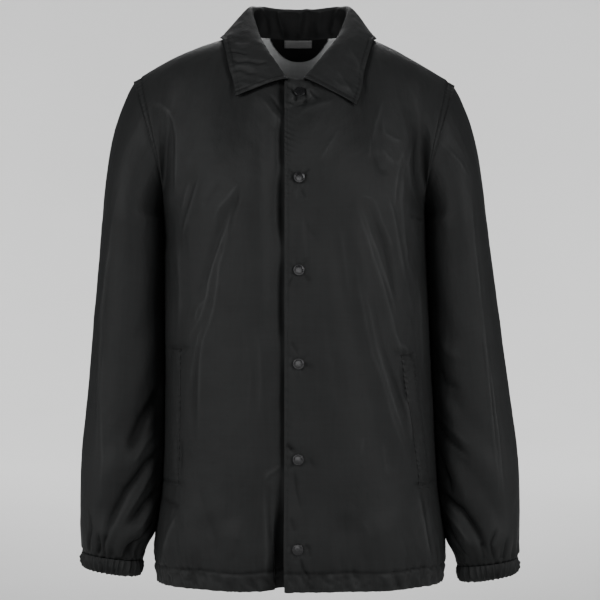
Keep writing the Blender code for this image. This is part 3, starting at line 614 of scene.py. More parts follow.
def puckers(along, away, period, depth, reach, seed):
    """Uneven waves along a seam that fade with the distance from it."""
    line = uneven(along, np.zeros_like(along), period * 2.2, seed, 2)
    wave = np.sin(2 * math.pi * along / period + 4.0 * line)
    strength = 0.65 + 0.9 * uneven(along, along * 0.0 + 0.5, period * 3.0, seed + 7.3, 1)
    return depth * wave * np.clip(strength, 0.1, 1.5) * np.exp(-np.maximum(away, 0.0) / reach)


def groove(away, width, depth):
    """The dent that a row of stitches pulls into cloth."""
    return -depth * np.exp(-((away / width) ** 2))


# %% Folds of the body
PanelFold = namedtuple("PanelFold", "x0 z0 x1 z1 width height")
FRONT_FOLDS = (
    PanelFold(-0.182, -0.100, -0.178, -0.215, 0.014, -0.0050),
    PanelFold(-0.168, -0.110, -0.170, -0.240, 0.014, 0.0040),
    PanelFold(-0.140, -0.190, -0.168, -0.290, 0.016, -0.0035),
    PanelFold(-0.046, -0.110, -0.042, -0.400, 0.016, -0.0045),
    PanelFold(-0.044, -0.580, -0.034, -0.737, 0.014, -0.0060),
    PanelFold(-0.120, -0.640, -0.135, -0.737, 0.018, -0.0045),
    PanelFold(-0.085, -0.650, -0.080, -0.737, 0.018, 0.0040),
    PanelFold(0.172, -0.120, 0.165, -0.235, 0.015, -0.0050),
    PanelFold(0.150, -0.110, 0.148, -0.260, 0.016, 0.0040),
    PanelFold(0.068, -0.260, 0.138, -0.570, 0.017, 0.0050),
    PanelFold(0.044, -0.270, 0.112, -0.590, 0.018, -0.0035),
    PanelFold(0.060, -0.640, 0.055, -0.737, 0.020, -0.0045),
    PanelFold(0.105, -0.640, 0.112, -0.737, 0.018, 0.0040),
    PanelFold(0.150, -0.600, 0.160, -0.737, 0.018, -0.0045),
)
BACK_FOLDS = (
    PanelFold(-0.160, -0.120, -0.120, -0.280, 0.020, -0.0060),
    PanelFold(0.158, -0.130, 0.115, -0.300, 0.020, -0.0060),
    PanelFold(-0.070, -0.330, -0.095, -0.640, 0.024, 0.0055),
    PanelFold(0.055, -0.300, 0.085, -0.650, 0.024, 0.0055),
    PanelFold(-0.015, -0.420, -0.010, -0.737, 0.022, -0.0050),
    PanelFold(0.120, -0.560, 0.125, -0.737, 0.020, -0.0045),
    PanelFold(-0.135, -0.580, -0.130, -0.737, 0.020, -0.0045),
)

# %% Creases of the fronts, as seen from the front, in millimetres
FRONT_CREASES = (
    Crease(((-132, -190), (-138, -211), (-144, -231), (-151, -253), (-159, -278)), 3.2, 2.0, -0.4),
    Crease(((-146, -197), (-152, -220), (-158, -245)), 3, 1.6),
    Crease(((-164, -260), (-162, -290), (-159, -329), (-159, -363), (-162, -399)), 7, 2.4),
    Crease(((-86, -236), (-92, -248), (-100, -271), (-106, -288), (-114, -310), (-119, -332),
            (-122, -353), (-131, -380), (-144, -401), (-155, -422)), 3.2, 2.4),
    Crease(((-87, -234), (-95, -271), (-99, -291), (-106, -312), (-108, -336), (-112, -363),
            (-119, -389), (-127, -408), (-131, -435), (-133, -487), (-134, -547)), 3, 2.1),
    Crease(((-123, -353), (-135, -369), (-141, -390)), 3, 1.8),
    Crease(((-123, -385), (-133, -402), (-138, -422), (-142, -443), (-145, -475)), 3, 1.8),
    Crease(((-77, -210), (-87, -230), (-95, -245), (-103, -262), (-110, -280), (-116, -301),
            (-123, -319), (-134, -343), (-145, -364)), 8, -2.2),
    Crease(((-78, -207), (-82, -231), (-89, -248), (-92, -275)), 4, -1.3),
    Crease(((-76, -199), (-94, -222), (-106, -236), (-116, -259)), 6, 1.5),
    Crease(((-100, -194), (-117, -217), (-129, -241)), 8, -1.4),
    Crease(((-46, -163), (-44, -200), (-42, -233), (-39, -259), (-40, -291)), 11, 1.4),
    Crease(((-55, -82), (-47, -95), (-38, -108), (-28, -120), (-18, -133)), 7, 2.2, -0.5),
    Crease(((-42, -84), (-32, -97), (-22, -112)), 4, -1.8),
    Crease(((-135, -406), (-141, -446), (-142, -488), (-141, -540)), 8, -1.6),
    Crease(((-23, -571), (-39, -580), (-49, -593)), 3.5, 1.8, 0.5),
    Crease(((-41, -595), (-41, -641), (-40, -688)), 3.5, -1.6),
    Crease(((-47, -597), (-45, -641), (-44, -688), (-47, -732)), 6, 2.6),
    Crease(((-189, -621), (-175, -627), (-158, -631)), 5, -2.2),
    Crease(((-162, -638), (-173, -662), (-181, -687), (-187, -721)), 7, 3.0, 0.5),
    Crease(((-131, -579), (-129, -618), (-112, -670), (-110, -714)), 9, -1.6),
    Crease(((-70, -382), (-65, -460), (-69, -538)), 9, 1.3),
    Crease(((-89, -577), (-91, -643), (-83, -714)), 12, -1.4),
    Crease(((-54, -395), (-51, -460), (-54, -512)), 7, 1.2),
    Crease(((-5, -117), (8, -106), (29, -98), (50, -91)), 7, 2.2, 0.5),
    Crease(((111, -86), (106, -105), (99, -125), (96, -150)), 3.4, 2.2),
    Crease(((93, -140), (92, -170)), 3.2, 1.5),
    Crease(((108, -107), (111, -134), (123, -142), (143, -150)), 3.4, 2.0),
    Crease(((104, -152), (116, -166), (128, -177)), 3.2, 1.9),
    Crease(((127, -179), (135, -168), (139, -155)), 3.2, 1.5),
    Crease(((136, -168), (129, -190), (126, -211), (125, -238)), 3.4, 2.2),
    Crease(((136, -174), (137, -198), (134, -224), (137, -267), (142, -303), (149, -332)), 3.4, 2.2),
    Crease(((100, -159), (105, -179), (118, -193)), 8, -1.8),
    Crease(((152, -143), (144, -173), (147, -204), (157, -231)), 3.2, 1.7),
    Crease(((156, -137), (154, -170), (154, -202)), 5, -1.8),
    Crease(((111, -207), (118, -225), (123, -246), (129, -275), (134, -303), (142, -338)), 3.4, 2.2),
    Crease(((97, -224), (106, -248), (115, -270), (125, -296)), 4, 1.4),
    Crease(((91, -235), (100, -258), (110, -278), (118, -304), (123, -330), (130, -364)), 6, -2.8),
    Crease(((69, -213), (75, -239), (82, -261), (89, -278), (96, -301), (104, -323), (111, -343),
            (118, -369), (125, -398), (134, -424), (141, -475)), 3, 2.3),
    Crease(((73, -221), (86, -253), (92, -271), (100, -291), (107, -312), (114, -332), (120, -353),
            (131, -388)), 3, 2.1),
    Crease(((108, -325), (115, -347), (123, -372)), 2.6, -1.2),
    Crease(((68, -291), (74, -317), (77, -338), (82, -363), (87, -389), (95, -428), (103, -447),
            (110, -467), (115, -487), (120, -507), (127, -527), (135, -545), (146, -578)), 3, 2.2),
    Crease(((75, -314), (83, -343), (90, -369), (95, -392), (99, -415), (107, -441), (114, -461),
            (119, -480), (126, -500), (133, -520), (146, -559)), 3, 2.1),
    Crease(((92, -343), (102, -385), (111, -421), (119, -442), (127, -462), (133, -482), (140, -503),
            (145, -527)), 7, -2.2),
    Crease(((135, -477), (144, -501), (146, -521), (148, -549)), 3.2, 1.8),
    Crease(((52, -255), (57, -291), (61, -324), (64, -356)), 7, 1.6),
    Crease(((154, -314), (159, -356), (161, -403), (165, -463)), 8, 2.4),
    Crease(((3, -245), (5, -276), (9, -304)), 4, 1.3),
    Crease(((5, -252), (14, -268), (26, -282)), 7, -1.3),
    Crease(((55, -128), (39, -153), (23, -179)), 6, 1.2),
    Crease(((78, -218), (93, -224), (104, -233)), 3, 1.2),
    Crease(((142, -243), (155, -247), (170, -250)), 3, -1.6),
    Crease(((108, -539), (111, -565), (115, -589)), 5, 1.5),
    Crease(((83, -533), (79, -561)), 5, 1.2),
    Crease(((82, -642), (94, -666)), 6, 1.1),
    Crease(((154, -600), (161, -635), (167, -663), (171, -685), (178, -715)), 3.4, 2.6),
    Crease(((161, -606), (168, -636), (171, -667), (180, -708)), 3, -2.0),
    Crease(((-22, -545), (-12, -548), (-1, -554)), 2.8, -1.8),
    Crease(((8, -559), (21, -575)), 4, -1.6),
    Crease(((-8, -576), (-3, -609), (4, -635)), 6, -1.8),
    Crease(((-13, -636), (-5, -662)), 5, -1.6),
    Crease(((4, -671), (12, -679), (13, -693)), 3, -1.8),
    Crease(((1, -688), (4, -706), (12, -718), (9, -734)), 3, -2.4),
    Crease(((-13, -410), (-1, -427)), 3, -1.5),
    Crease(((34, -382), (47, -447), (49, -499)), 12, -1.6),
    Crease(((71, -395), (83, -473), (91, -538)), 12, 1.3),
    Crease(((68, -702), (74, -733)), 3.5, -1.8),
    Crease(((122, -704), (133, -740)), 3.5, -2.2),
)

POCKET_CREASES = (
    Crease(((-186, -419), (-166, -419), (-140, -419)), 2.6, -2.4),
    Crease(((-196, -599), (-176, -599), (-150, -599)), 2.6, -2.6),
    Crease(((122, -423), (138, -426), (158, -432)), 3.0, -3.0),
    Crease(((128, -412), (141, -420), (146, -436)), 3.0, 1.8),
    Crease(((148, -600), (166, -602), (186, -600)), 2.8, -3.0),
    Crease(((156, -588), (164, -598), (178, -604)), 3.0, 1.8),
    Crease(((132, -440), (138, -470), (142, -500)), 2.6, -1.4),
    Crease(((-158, -536), (-157, -560), (-158, -590)), 2.4, -1.2),
    Crease(((-164, -530), (-163, -560), (-164, -592)), 2.4, -1.2),
)
UNDER_CREASES = FRONT_CREASES + POCKET_CREASES + (
    Crease(((-20, -570), (-20, -630), (-22, -700), (-24, -780), (-24, -1060)), 30, -17.0),
    Crease(((-19, -60), (-19, -92), (-18, -124)), 7, -3.0),
    Crease(((-18, -112), (-20, -150), (-18, -192)), 12, -4.4),
    Crease(((-18, -178), (-22, -232), (-18, -294)), 16, -5.0),
    Crease(((-18, -286), (-21, -350), (-18, -430)), 13, -4.2),
    Crease(((-18, -410), (-19, -500), (-18, -600)), 8, -3.0),
)
UPPER_CREASES = FRONT_CREASES + POCKET_CREASES + (
    Crease(((-20, -72), (-10, -78), (-5, -88), (-7, -100)), 3.2, -3.4),
    Crease(((6, -70), (5, -80), (9, -90), (6, -102)), 3.2, -3.4),
    Crease(((-18, -94), (-8, -99), (4, -98), (12, -90)), 3.2, -3.0),
    Crease(((8, -78), (18, -84), (28, -92)), 3.4, -2.6),
    Crease(((-14, -84), (-9, -90), (-12, -97)), 3.0, 2.2),
    Crease(((10, -76), (12, -84), (20, -92)), 3.0, 2.2),
    Crease(((-17, -184), (-11, -191), (-5, -198)), 2.8, -2.2),
    Crease(((4, -196), (9, -190), (15, -186)), 2.8, -2.0),
    Crease(((1, -211), (4, -219), (9, -227)), 2.8, -2.2),
    Crease(((-4, -211), (-6, -218), (-3, -226)), 2.6, 1.4),
    Crease(((4, -323), (9, -329), (16, -334)), 2.8, -1.8),
    Crease(((3, -311), (8, -306), (13, -305)), 2.8, -1.4),
    Crease(((-7, -324), (-12, -331), (-15, -340)), 2.8, -1.4),
    Crease(((4, -437), (10, -443), (19, -446)), 2.8, -1.6),
    Crease(((-8, -553), (-13, -548), (-17, -541)), 2.8, -1.8),
)
Step = namedtuple("Step", "points rise tail")
FRONT_STEPS = (
    Step(((-203, -91), (-188, -96), (-178, -104), (-171, -117), (-168, -132), (-166, -152), (-166, -180),
          (-168, -224)), 2.6, 16),
)
BACK_STEPS = (
    Step(((150, -92), (140, -104), (134, -128), (134, -170), (140, -214)), -1.6, 16),
    Step(((-156, -96), (-146, -110), (-140, -140), (-142, -190)), 1.6, 16),
)

# %% Creases of the back, alike but its own
BACK_CREASES = (
    Crease(((168, -104), (150, -150), (120, -196), (84, -226)), 5, 3.2, 0.6),
    Crease(((172, -136), (150, -188), (118, -236)), 4.5, 2.8, -0.5),
    Crease(((166, -182), (146, -232), (122, -300)), 4, 2.4, 0.5),
    Crease(((-176, -104), (-152, -146), (-118, -184), (-76, -206)), 5, 3.2, -0.6),
    Crease(((-178, -140), (-156, -196), (-128, -246)), 4.5, 2.8, 0.5),
    Crease(((-172, -190), (-150, -246), (-132, -322)), 4, 2.4, -0.5),
    Crease(((-40, -70), (0, -84), (38, -72)), 7, 2.0, -0.4),
    Crease(((-60, -96), (-8, -112), (52, -98)), 8, 1.8, -0.4),
    Crease(((96, -300), (84, -392), (92, -486), (112, -566)), 5, 3.0, 0.5),
    Crease(((60, -356), (52, -452), (66, -560)), 6, 2.4, -0.4),
    Crease(((-82, -330), (-96, -420), (-90, -520), (-104, -610)), 5, 3.0, -0.5),
    Crease(((-46, -380), (-38, -470), (-48, -570)), 7, 2.2, 0.4),
    Crease(((150, -420), (126, -500), (118, -590)), 5, 2.6, 0.5),
    Crease(((-154, -440), (-136, -520), (-140, -620)), 5, 2.6, -0.5),
    Crease(((10, -520), (4, -610), (14, -700)), 9, 2.0, 0.3),
    Crease(((160, -640), (140, -676), (128, -730)), 6, 2.6, 0.4),
    Crease(((-164, -632), (-150, -680), (-146, -730)), 6, 2.6, -0.4),
    Crease(((40, -640), (46, -690), (40, -737)), 7, 2.0, 0.4),
    Crease(((-60, -650), (-66, -700), (-60, -737)), 7, 2.0, -0.4),
)
print("creases on the body", len(FRONT_CREASES) + len(BACK_CREASES))

# %% Places of the snaps
SNAP_RADIUS, SNAP_HEIGHT, SNAP_STEPS = 0.0075, 0.0031, 40
SNAP_SINK = 0.0006
SNAP_NAMES = ["snap_%d" % number for number in range(1, 7)]


def snap_places():
    """The middle of each snap's foot and the front's normal there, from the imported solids."""
    places = []
    for name in SNAP_NAMES:
        mesh = frame["nodes"][name].data
        points = np.empty(len(mesh.vertices) * 3)
        mesh.vertices.foreach_get("co", points)
        points = points.reshape(-1, 3)
        middle = (points.min(axis=0) + points.max(axis=0)) / 2
        spread = np.linalg.svd(np.unique(np.round(points, 5), axis=0) - middle)[2]
        normal = spread[2] * -np.sign(spread[2][1])
        top = ((points - middle) @ normal).max()
        places.append((middle + normal * (top - SNAP_HEIGHT - SNAP_SINK), normal))
    return places


SNAP_PLACES = snap_places()
print("snaps at", [tuple(np.round(place, 3)) for place, _ in SNAP_PLACES])

# %% [markdown]
# ## Body panels
#
# A panel is a fine grid over shares and levels. Columns crowd towards its edges, where the seams pucker.
# `Panel.base` is the solid's own form, and `Panel.outer` adds creases, puckers, the hem's gathers and
# the grooves of its stitch lines. Anything sewn on later asks the panel for points with `at`.

# %% The panel class
HEM_ROWS, UPPER_ROWS_SHARE = 24, 0.36


def crowded(start, end, count, ends=0.4):
    """Values from start to end that lie closer together at both ends."""
    t = np.linspace(0.0, 1.0, count)
    return start + (end - start) * (t - ends * np.sin(2 * math.pi * t) / (2 * math.pi))


def panel_levels(rows):
    """Levels from hem to top edge, in even lengths of cloth but closer in the hem."""
    hem = np.linspace(0.0, 2.0 * HEM_DEPTH / LOWER_LENGTH, HEM_ROWS, endpoint=False)
    upper = int(rows * UPPER_ROWS_SHARE)
    lower = np.linspace(2.0 * HEM_DEPTH / LOWER_LENGTH, 1.0, rows - HEM_ROWS - upper, endpoint=False)
    return np.concatenate([hem, lower, np.linspace(1.0, 2.0, upper)])


BODY_RELIEF = 0.62
TAB_LINE = np.array([(-18, -103), (-8, -101), (0, -98), (8, -93), (16, -85), (22, -76)]) / 1000
TAB_STEP, TAB_REACH, TAB_FADE, TAB_EDGE = 0.0025, 0.020, 0.008, 0.0016
PLACKET_STITCH, PLACKET_GROOVE = 0.0045, Groove(0.0014, 0.0006)
PLACKET_PUCKER, PLACKET_SLANT = Pucker(0.0105, 0.0010, 0.007), 0.4
TENSE_HEIGHT, TENSE_RANGE = -0.145, 0.040
SNAP_DIMPLE = Groove(0.0100, 0.0011)
SNAP_RAYS, SNAP_RAYS_OUT, SNAP_RAYS_WIDTH = 0.0005, 0.0115, 0.0050


def placket_heights(x, z, from_edge, up):
    """The upper front's edge: puckers, the stitch groove, the tab at the top and a dimple at every snap."""
    slanted = up + PLACKET_SLANT * from_edge
    tense = 0.40 + 1.3 * np.exp(-(((z - TENSE_HEIGHT) / TENSE_RANGE) ** 2))
    heights = tense * puckers(slanted, from_edge - 0.004, *PLACKET_PUCKER, 91.0)
    heights += groove(from_edge - PLACKET_STITCH, *PLACKET_GROOVE)
    above, _ = nearest_on_line(x, z, TAB_LINE)
    heights += TAB_STEP * smooth(above / TAB_EDGE + 0.5) * smooth((TAB_REACH - x) / TAB_FADE)
    for number, (place, _) in enumerate(SNAP_PLACES):
        off = np.hypot(x - place[0], z - place[2])
        turn = np.arctan2(z - place[2], x - place[0])
        heights += groove(off, *SNAP_DIMPLE)
        rays = np.sin(7 * turn + 2.0 * number) + 0.6 * np.sin(4 * turn - 1.3 * number)
        heights += SNAP_RAYS * rays * np.exp(-(((off - SNAP_RAYS_OUT) / SNAP_RAYS_WIDTH) ** 2))
    return heights


ARMHOLE_STITCHES = (0.0020, 0.0095)
ARMHOLE_GROOVE, ARMHOLE_SHADE = Groove(0.0016, 0.0008), Groove(0.0013, 0.4)
ARMHOLE_PUCKER, SIDE_PUCKER = Pucker(0.0075, 0.0008, 0.006), Pucker(0.0160, 0.0010, 0.012)
ARMHOLE_WELL, ARMHOLE_WELL_WIDTH = 0.0011, 0.0125
HEM_PUCKER, HEM_FINE_PUCKER = Pucker(0.0170, 0.0013, 0.020), Pucker(0.0062, 0.0006, 0.008)
HEM_GROOVE, HEM_SHADE = Groove(0.0022, 0.0016), Groove(0.0018, 0.6)
BODY_WAVES, BODY_CRUMPLE = Crumple(0.0005, 0.050), Crumple(0.00035, 0.014)
HEM_CRUMPLE = Crumple(0.0022, 0.012)


class Panel:
    """A body panel: its smooth base, its creased outer sheet and places on either."""

    def __init__(self, face, shares, rows, folds, creases, lap, seed, edge_details=False):
        self.face, self.shares, self.levels, self.seed = face, shares, panel_levels(rows), seed
        self.edge_details = edge_details
        self.facing = np.sign(shares[-1] - shares[0]) * (1.0 if face == "front" else -1.0)
        flat = panel_points(face, shares, self.levels)
        size = np.broadcast_to(np.abs(shares), flat.shape[:2])
        level = np.broadcast_to(self.levels[:, None], flat.shape[:2])
        seam = np.where(level > 0.95, 0.26, 0.10)
        calm = smooth((1.0 - size) / seam) * smooth((2.0 - level) / 0.25)
        if face == "front":
            calm = calm * smooth((size - 0.12) / 0.10)
        height = fold_heights(flat[..., 0], flat[..., 2], folds) * calm + lap(shares)[None, :]
        self.base = flat + grid_normals(flat) * self.facing * height[..., None]
        self.base_normals = grid_normals(self.base) * self.facing
        fine = self.fine_heights(size, level, leaned(self.base), creases)
        self.outer = self.base + self.base_normals * fine[..., None]
        self.normals = grid_normals(self.outer) * self.facing

    def fine_heights(self, size, level, seen, creases):
        """Creases, crumple, puckers and grooves, by the cloth's distance from each seam."""
        share = np.broadcast_to(self.shares, size.shape)
        across = share * HALF_PANEL
        up = np.where(level < 1.0, level * LOWER_LENGTH, LOWER_LENGTH + (level - 1.0) * UPPER_LENGTH)
        to_side = (1.0 - size) * HALF_PANEL
        to_top = (2.0 - level) * UPPER_LENGTH
        armhole = smooth((level - 0.97) / 0.06)
        near_edge = smooth(to_side / 0.012) * smooth(to_top / 0.02)
        creased, painted_crease_light = crease_heights(seen[..., 0], seen[..., 2], creases, BODY_RELIEF)
        steps = FRONT_STEPS if self.face == "front" else BACK_STEPS
        stepped, edges = step_heights(seen[..., 0], seen[..., 2], steps)
        fine = (creased + stepped) * near_edge
        broken = 0.8 + 0.5 * uneven(across, up * 0.6, 0.030, self.seed + 5.5, 2)
        # Painted light of the panel: highlights on creases and step edges, painted shade in deep troughs.
        self.crest = (painted_crease_light + edges) * near_edge * broken
        waves = uneven(across, up * 0.45, BODY_WAVES.size, self.seed) * smooth(to_side / 0.02)
        fine += BODY_WAVES.height * waves
        fine += BODY_CRUMPLE.height * uneven(across, up * 0.8, BODY_CRUMPLE.size, self.seed + 3.1)
        well = ARMHOLE_WELL * smooth((ARMHOLE_WELL_WIDTH - to_side) / 0.004)
        well = puckers(up, to_side - 0.008, *ARMHOLE_PUCKER, self.seed) - well
        fine += armhole * smooth(to_side / 0.003) * well
        fine += armhole * groove(to_side - ARMHOLE_STITCHES[1], *ARMHOLE_GROOVE)
        fine += (1.0 - armhole) * puckers(up, to_side, *SIDE_PUCKER, self.seed + 1.7) * near_edge
        above = np.maximum(up - HEM_DEPTH, 0.0)
        fine += puckers(across + 0.3 * up, above, *HEM_PUCKER, self.seed + 2.9)
        fine += puckers(across, above, *HEM_FINE_PUCKER, self.seed + 5.9)
        hem = smooth((HEM_DEPTH - up) / 0.005)
        crumple = uneven(across + 0.6 * up, up * 0.8, HEM_CRUMPLE.size, self.seed + 9.0)
        fine += HEM_CRUMPLE.height * crumple * hem * smooth(up / 0.004)
        # A painted highlight over the hem's crumpled band.
        self.crest += hem * (0.10 + 0.35 * crumple)
        fine += groove(up - HEM_DEPTH, *HEM_GROOVE)
        # Painted shade along the hem's and the armhole's rows of stitches.
        patchy = 0.6 + 0.8 * uneven(across, up * 0.0, 0.022, self.seed + 8.0, 2)
        self.crest += groove(up - HEM_DEPTH, *HEM_SHADE) * np.clip(patchy, 0.1, 1.5)
        self.crest += armhole * sum(groove(to_side - inset, *ARMHOLE_SHADE) for inset in ARMHOLE_STITCHES)
        if self.edge_details:
            fine += placket_heights(seen[..., 0], seen[..., 2], across + LAP * HALF_PANEL, up)
        return fine

    def read(self, grid, share, level):
        """Points of a grid at any places, between its rows and columns."""
        shares, flip = (self.shares, 1) if self.shares[0] < self.shares[-1] else (self.shares[::-1], -1)
        share, level = np.broadcast_arrays(np.asarray(share, float), np.asarray(level, float))
        column = np.clip(np.searchsorted(shares, share) - 1, 0, len(shares) - 2)
        row = np.clip(np.searchsorted(self.levels, level) - 1, 0, len(self.levels) - 2)
        a = ((share - shares[column]) / (shares[column + 1] - shares[column]))[..., None]
        b = ((level - self.levels[row]) / (self.levels[row + 1] - self.levels[row]))[..., None]
        turned = grid[:, ::flip]
        low = turned[row, column] * (1 - a) + turned[row, column + 1] * a
        high = turned[row + 1, column] * (1 - a) + turned[row + 1, column + 1] * a
        return low * (1 - b) + high * b

    def at(self, share, level, lift=0.0, creased=True):
        """A place on the panel, moved out by lift."""
        points, normals = (self.outer, self.normals) if creased else (self.base, self.base_normals)
        normal = unit(self.read(normals, share, level))
        return self.read(points, share, level) + normal * lift

    def normal(self, share, level, creased=True):
        return unit(self.read(self.normals if creased else self.base_normals, share, level))


# %% Cut the fronts and the back
FRONT_COLUMNS, BACK_COLUMNS = 165, 180
FRONT_ROWS, BACK_ROWS = 270, 190


def lap_lift(shares):
    """The upper front's free edge stands off a little."""
    return LAP_LIFT * smooth((-shares - 0.02) / (LAP - 0.02))


def lap_drop(shares):
    """The lower front lies behind the upper one."""
    return -LAP_DROP * smooth((0.125 + shares) / 0.042)


def no_lap(shares):
    return np.zeros_like(shares)


UPPER_SHARES = crowded(-LAP, 1.0, FRONT_COLUMNS)
UNDER_SHARES = -crowded(-UNDERLAP, 1.0, FRONT_COLUMNS)
BACK_SHARES = crowded(-1.0, 1.0, BACK_COLUMNS)
PANELS = {
    "left": Panel("front", UPPER_SHARES, FRONT_ROWS, FRONT_FOLDS, UPPER_CREASES, lap_lift, 11.0, True),
    "right": Panel("front", UNDER_SHARES, FRONT_ROWS, FRONT_FOLDS, UNDER_CREASES, lap_drop, 23.0),
    "back": Panel("back", BACK_SHARES, BACK_ROWS, BACK_FOLDS, BACK_CREASES, no_lap, 37.0),
}
print("panels", {name: panel.outer.shape[:2] for name, panel in PANELS.items()})

# %% [markdown]
# ## From a grid to a shell of cloth
#
# A single sheet of faces would have no edge and no second colour. Each piece is therefore a closed wall:
# the outer grid, the same grid one thickness behind it, and a rim. The inner faces take the coated
# reverse, except along the armholes and at the cuffs, where the seam allowance shows the black face
# again. The UV map is the cloth's own length and width, measured along the grid. A second layer holds
# painted light for every point: above 0 a painted highlight along a crease's crest, below 0 painted
# shade in a deep trough or along a row of stitches.

# %% The shell builder
PIECES = {}


def cloth_lengths(outer):
    """The UV map of a grid: metres of cloth along its rows and columns, on average."""
    u = lengths_from(outer, 1).mean(axis=0)
    v = lengths_from(outer, 0).mean(axis=1)
    return np.stack(np.meshgrid(u, v), axis=-1)


def wall_faces(rows, columns, ring):
    """Quads of the outer side, of the inner side and of the rim, for grids of one size."""
    index = np.arange(rows * columns).reshape(rows, columns)
    if ring:
        index = np.concatenate([index, index[:, :1]], axis=1)
    a, b, c, d = index[:-1, :-1], index[:-1, 1:], index[1:, 1:], index[1:, :-1]
    outer = np.stack([a, b, c, d], axis=-1).reshape(-1, 4)
    inside = rows * columns
    inner = outer[:, [0, 3, 2, 1]] + inside
    low, high = index[0], index[-1]
    rim = [np.stack([low[:-1], low[:-1] + inside, low[1:] + inside, low[1:]], axis=1)]
    rim.append(np.stack([high[:-1], high[1:], high[1:] + inside, high[:-1] + inside], axis=1))
    if not ring:
        first, last = index[:, 0], index[:, -1]
        rim.append(np.stack([first[:-1], first[1:], first[1:] + inside, first[:-1] + inside], axis=1))
        rim.append(np.stack([last[:-1], last[:-1] + inside, last[1:] + inside, last[1:]], axis=1))
    return outer, inner, np.concatenate(rim)


def add_mesh(name, vertices, faces, finishes, slots=None):
    mesh = bpy.data.meshes.new(name)
    mesh.from_pydata(vertices.tolist(), [], faces.tolist())
    for finish in finishes:
        mesh.materials.append(FINISHES[finish])
    if slots is not None:
        mesh.polygons.foreach_set("material_index", slots)
    mesh.shade_smooth()
    piece = PIECES[name] = link(name, mesh)
    return piece


def add_shell(name, outer, inner, finishes, ring=False, flip=False, crest=None):
    """A closed wall of cloth; finishes are those of its outer and inner sides."""
    rows, columns = outer.shape[:2]
    outside, inside, rim = wall_faces(rows, columns, ring)
    faces = np.concatenate([outside, inside, rim])
    if flip:
        faces = faces[:, ::-1]
    slots = np.zeros(len(faces), dtype=np.int32)
    slots[len(outside):len(outside) + len(inside)] = len(finishes) - 1
    vertices = leaned(np.concatenate([outer.reshape(-1, 3), inner.reshape(-1, 3)]))
    piece = add_mesh(name, vertices, faces, finishes, slots)
    lengths = np.tile(cloth_lengths(outer).reshape(-1, 2), (2, 1))
    layer = piece.data.uv_layers.new(name=UV_NAME)
    corners = np.empty(len(piece.data.loops), dtype=np.int32)
    piece.data.loops.foreach_get("vertex_index", corners)
    layer.uv.foreach_set("vector", lengths[corners].ravel())
    values = np.zeros(len(vertices), dtype=np.float32)
    if crest is not None:
        values[:rows * columns] = crest.ravel()
    piece.data.attributes.new(PAINTED_LIGHT_NAME, "FLOAT", "POINT").data.foreach_set("value", values)
    print(name, len(faces), "faces")
    return piece


def repaint(piece, chosen, slot):
    """Give the chosen faces of a shell another of its finishes."""
    slots = np.empty(len(piece.data.polygons), dtype=np.int32)
    piece.data.polygons.foreach_get("material_index", slots)
    slots[chosen] = slot
    piece.data.polygons.foreach_set("material_index", slots)


# %% Sew up the body
CLOTH = 0.0007
HEM_CLOTH = 0.0016
PLACKET_CLOTH = 0.0016
PLACKET_WIDTH = 0.034
ALLOWANCE, ALLOWANCE_LEVEL = 0.026, 0.98


def panel_thickness(panel):
    """The hem is turned up and the upper front's edge is turned in, so both are thicker."""
    up = panel.levels * LOWER_LENGTH
    thick = CLOTH + (HEM_CLOTH - CLOTH) * smooth((HEM_DEPTH + 0.001 - up) / 0.002)[:, None]
    if panel is PANELS["left"]:
        from_edge = (panel.shares + LAP) * HALF_PANEL
        edge = PLACKET_CLOTH * smooth((PLACKET_WIDTH - from_edge) / 0.003)
        thick = np.maximum(thick, edge[None, :])
    return np.broadcast_to(thick, panel.outer.shape[:2])


def sew_panel(name, panel):
    inner = panel.outer - panel.base_normals * panel_thickness(panel)[..., None]
    piece = add_shell(name, panel.outer, inner, ("shell", "reverse"), False, panel.facing < 0, panel.crest)
    to_side = (1.0 - np.abs(panel.shares[:-1])) * HALF_PANEL
    armhole = (panel.levels[:-1, None] > ALLOWANCE_LEVEL) & (to_side[None, :] < ALLOWANCE)
    repaint(piece, armhole.size + np.flatnonzero(armhole), 0)


for word, name in (("left", "front_left_cloth"), ("right", "front_right_cloth"), ("back", "back_cloth")):
    sew_panel(name, PANELS[word])

# %% [markdown]
# ## Sleeves
#
# A sleeve is a tube: rings run from the armhole over the sleeve head and down the arm to the cuff. A
# place on it is a turn (0 outside, 90 in front, 180 beside the body) and a height. Its cloth is longer
# than the arm, so it breaks into slanting troughs inside the elbow and blouses over the cuff. Its end
# tucks into the cuff, as a seam allowance does, so that no light shows between the two.

# %% Sizes of the sleeves
ARMHOLE_TUCK, ARMHOLE_SINK = 0.0016, 0.0009
HEAD_LEAVE = np.array([0.50, 0.0, -0.87])
PIT_LEAVE = np.array([0.35, 0.0, -0.94])
ARM_AXIS = np.array([0.08, 0.0, -1.0])
HEAD_REACH, ARM_REACH = 0.36, 0.40
SleeveRing = namedtuple("SleeveRing", "outer_x outer_z inner_x inner_z half_depth middle_y")
SLEEVE = (
    SleeveRing(0.2615, -0.235, 0.1835, -0.270, 0.078, 0.002),
    SleeveRing(0.2685, -0.301, 0.1850, -0.327, 0.076, 0.004),
    SleeveRing(0.2800, -0.411, 0.1880, -0.430, 0.072, 0.006),
    SleeveRing(0.2890, -0.493, 0.1920, -0.510, 0.068, 0.004),
    SleeveRing(0.2973, -0.575, 0.1985, -0.590, 0.064, -0.002),
    SleeveRing(0.2985, -0.640, 0.2055, -0.652, 0.059, -0.008),
    SleeveRing(0.2980, -0.683, 0.2085, -0.694, 0.054, -0.012),
    SleeveRing(0.2955, -0.705, 0.2145, -0.716, 0.038, -0.013),
)
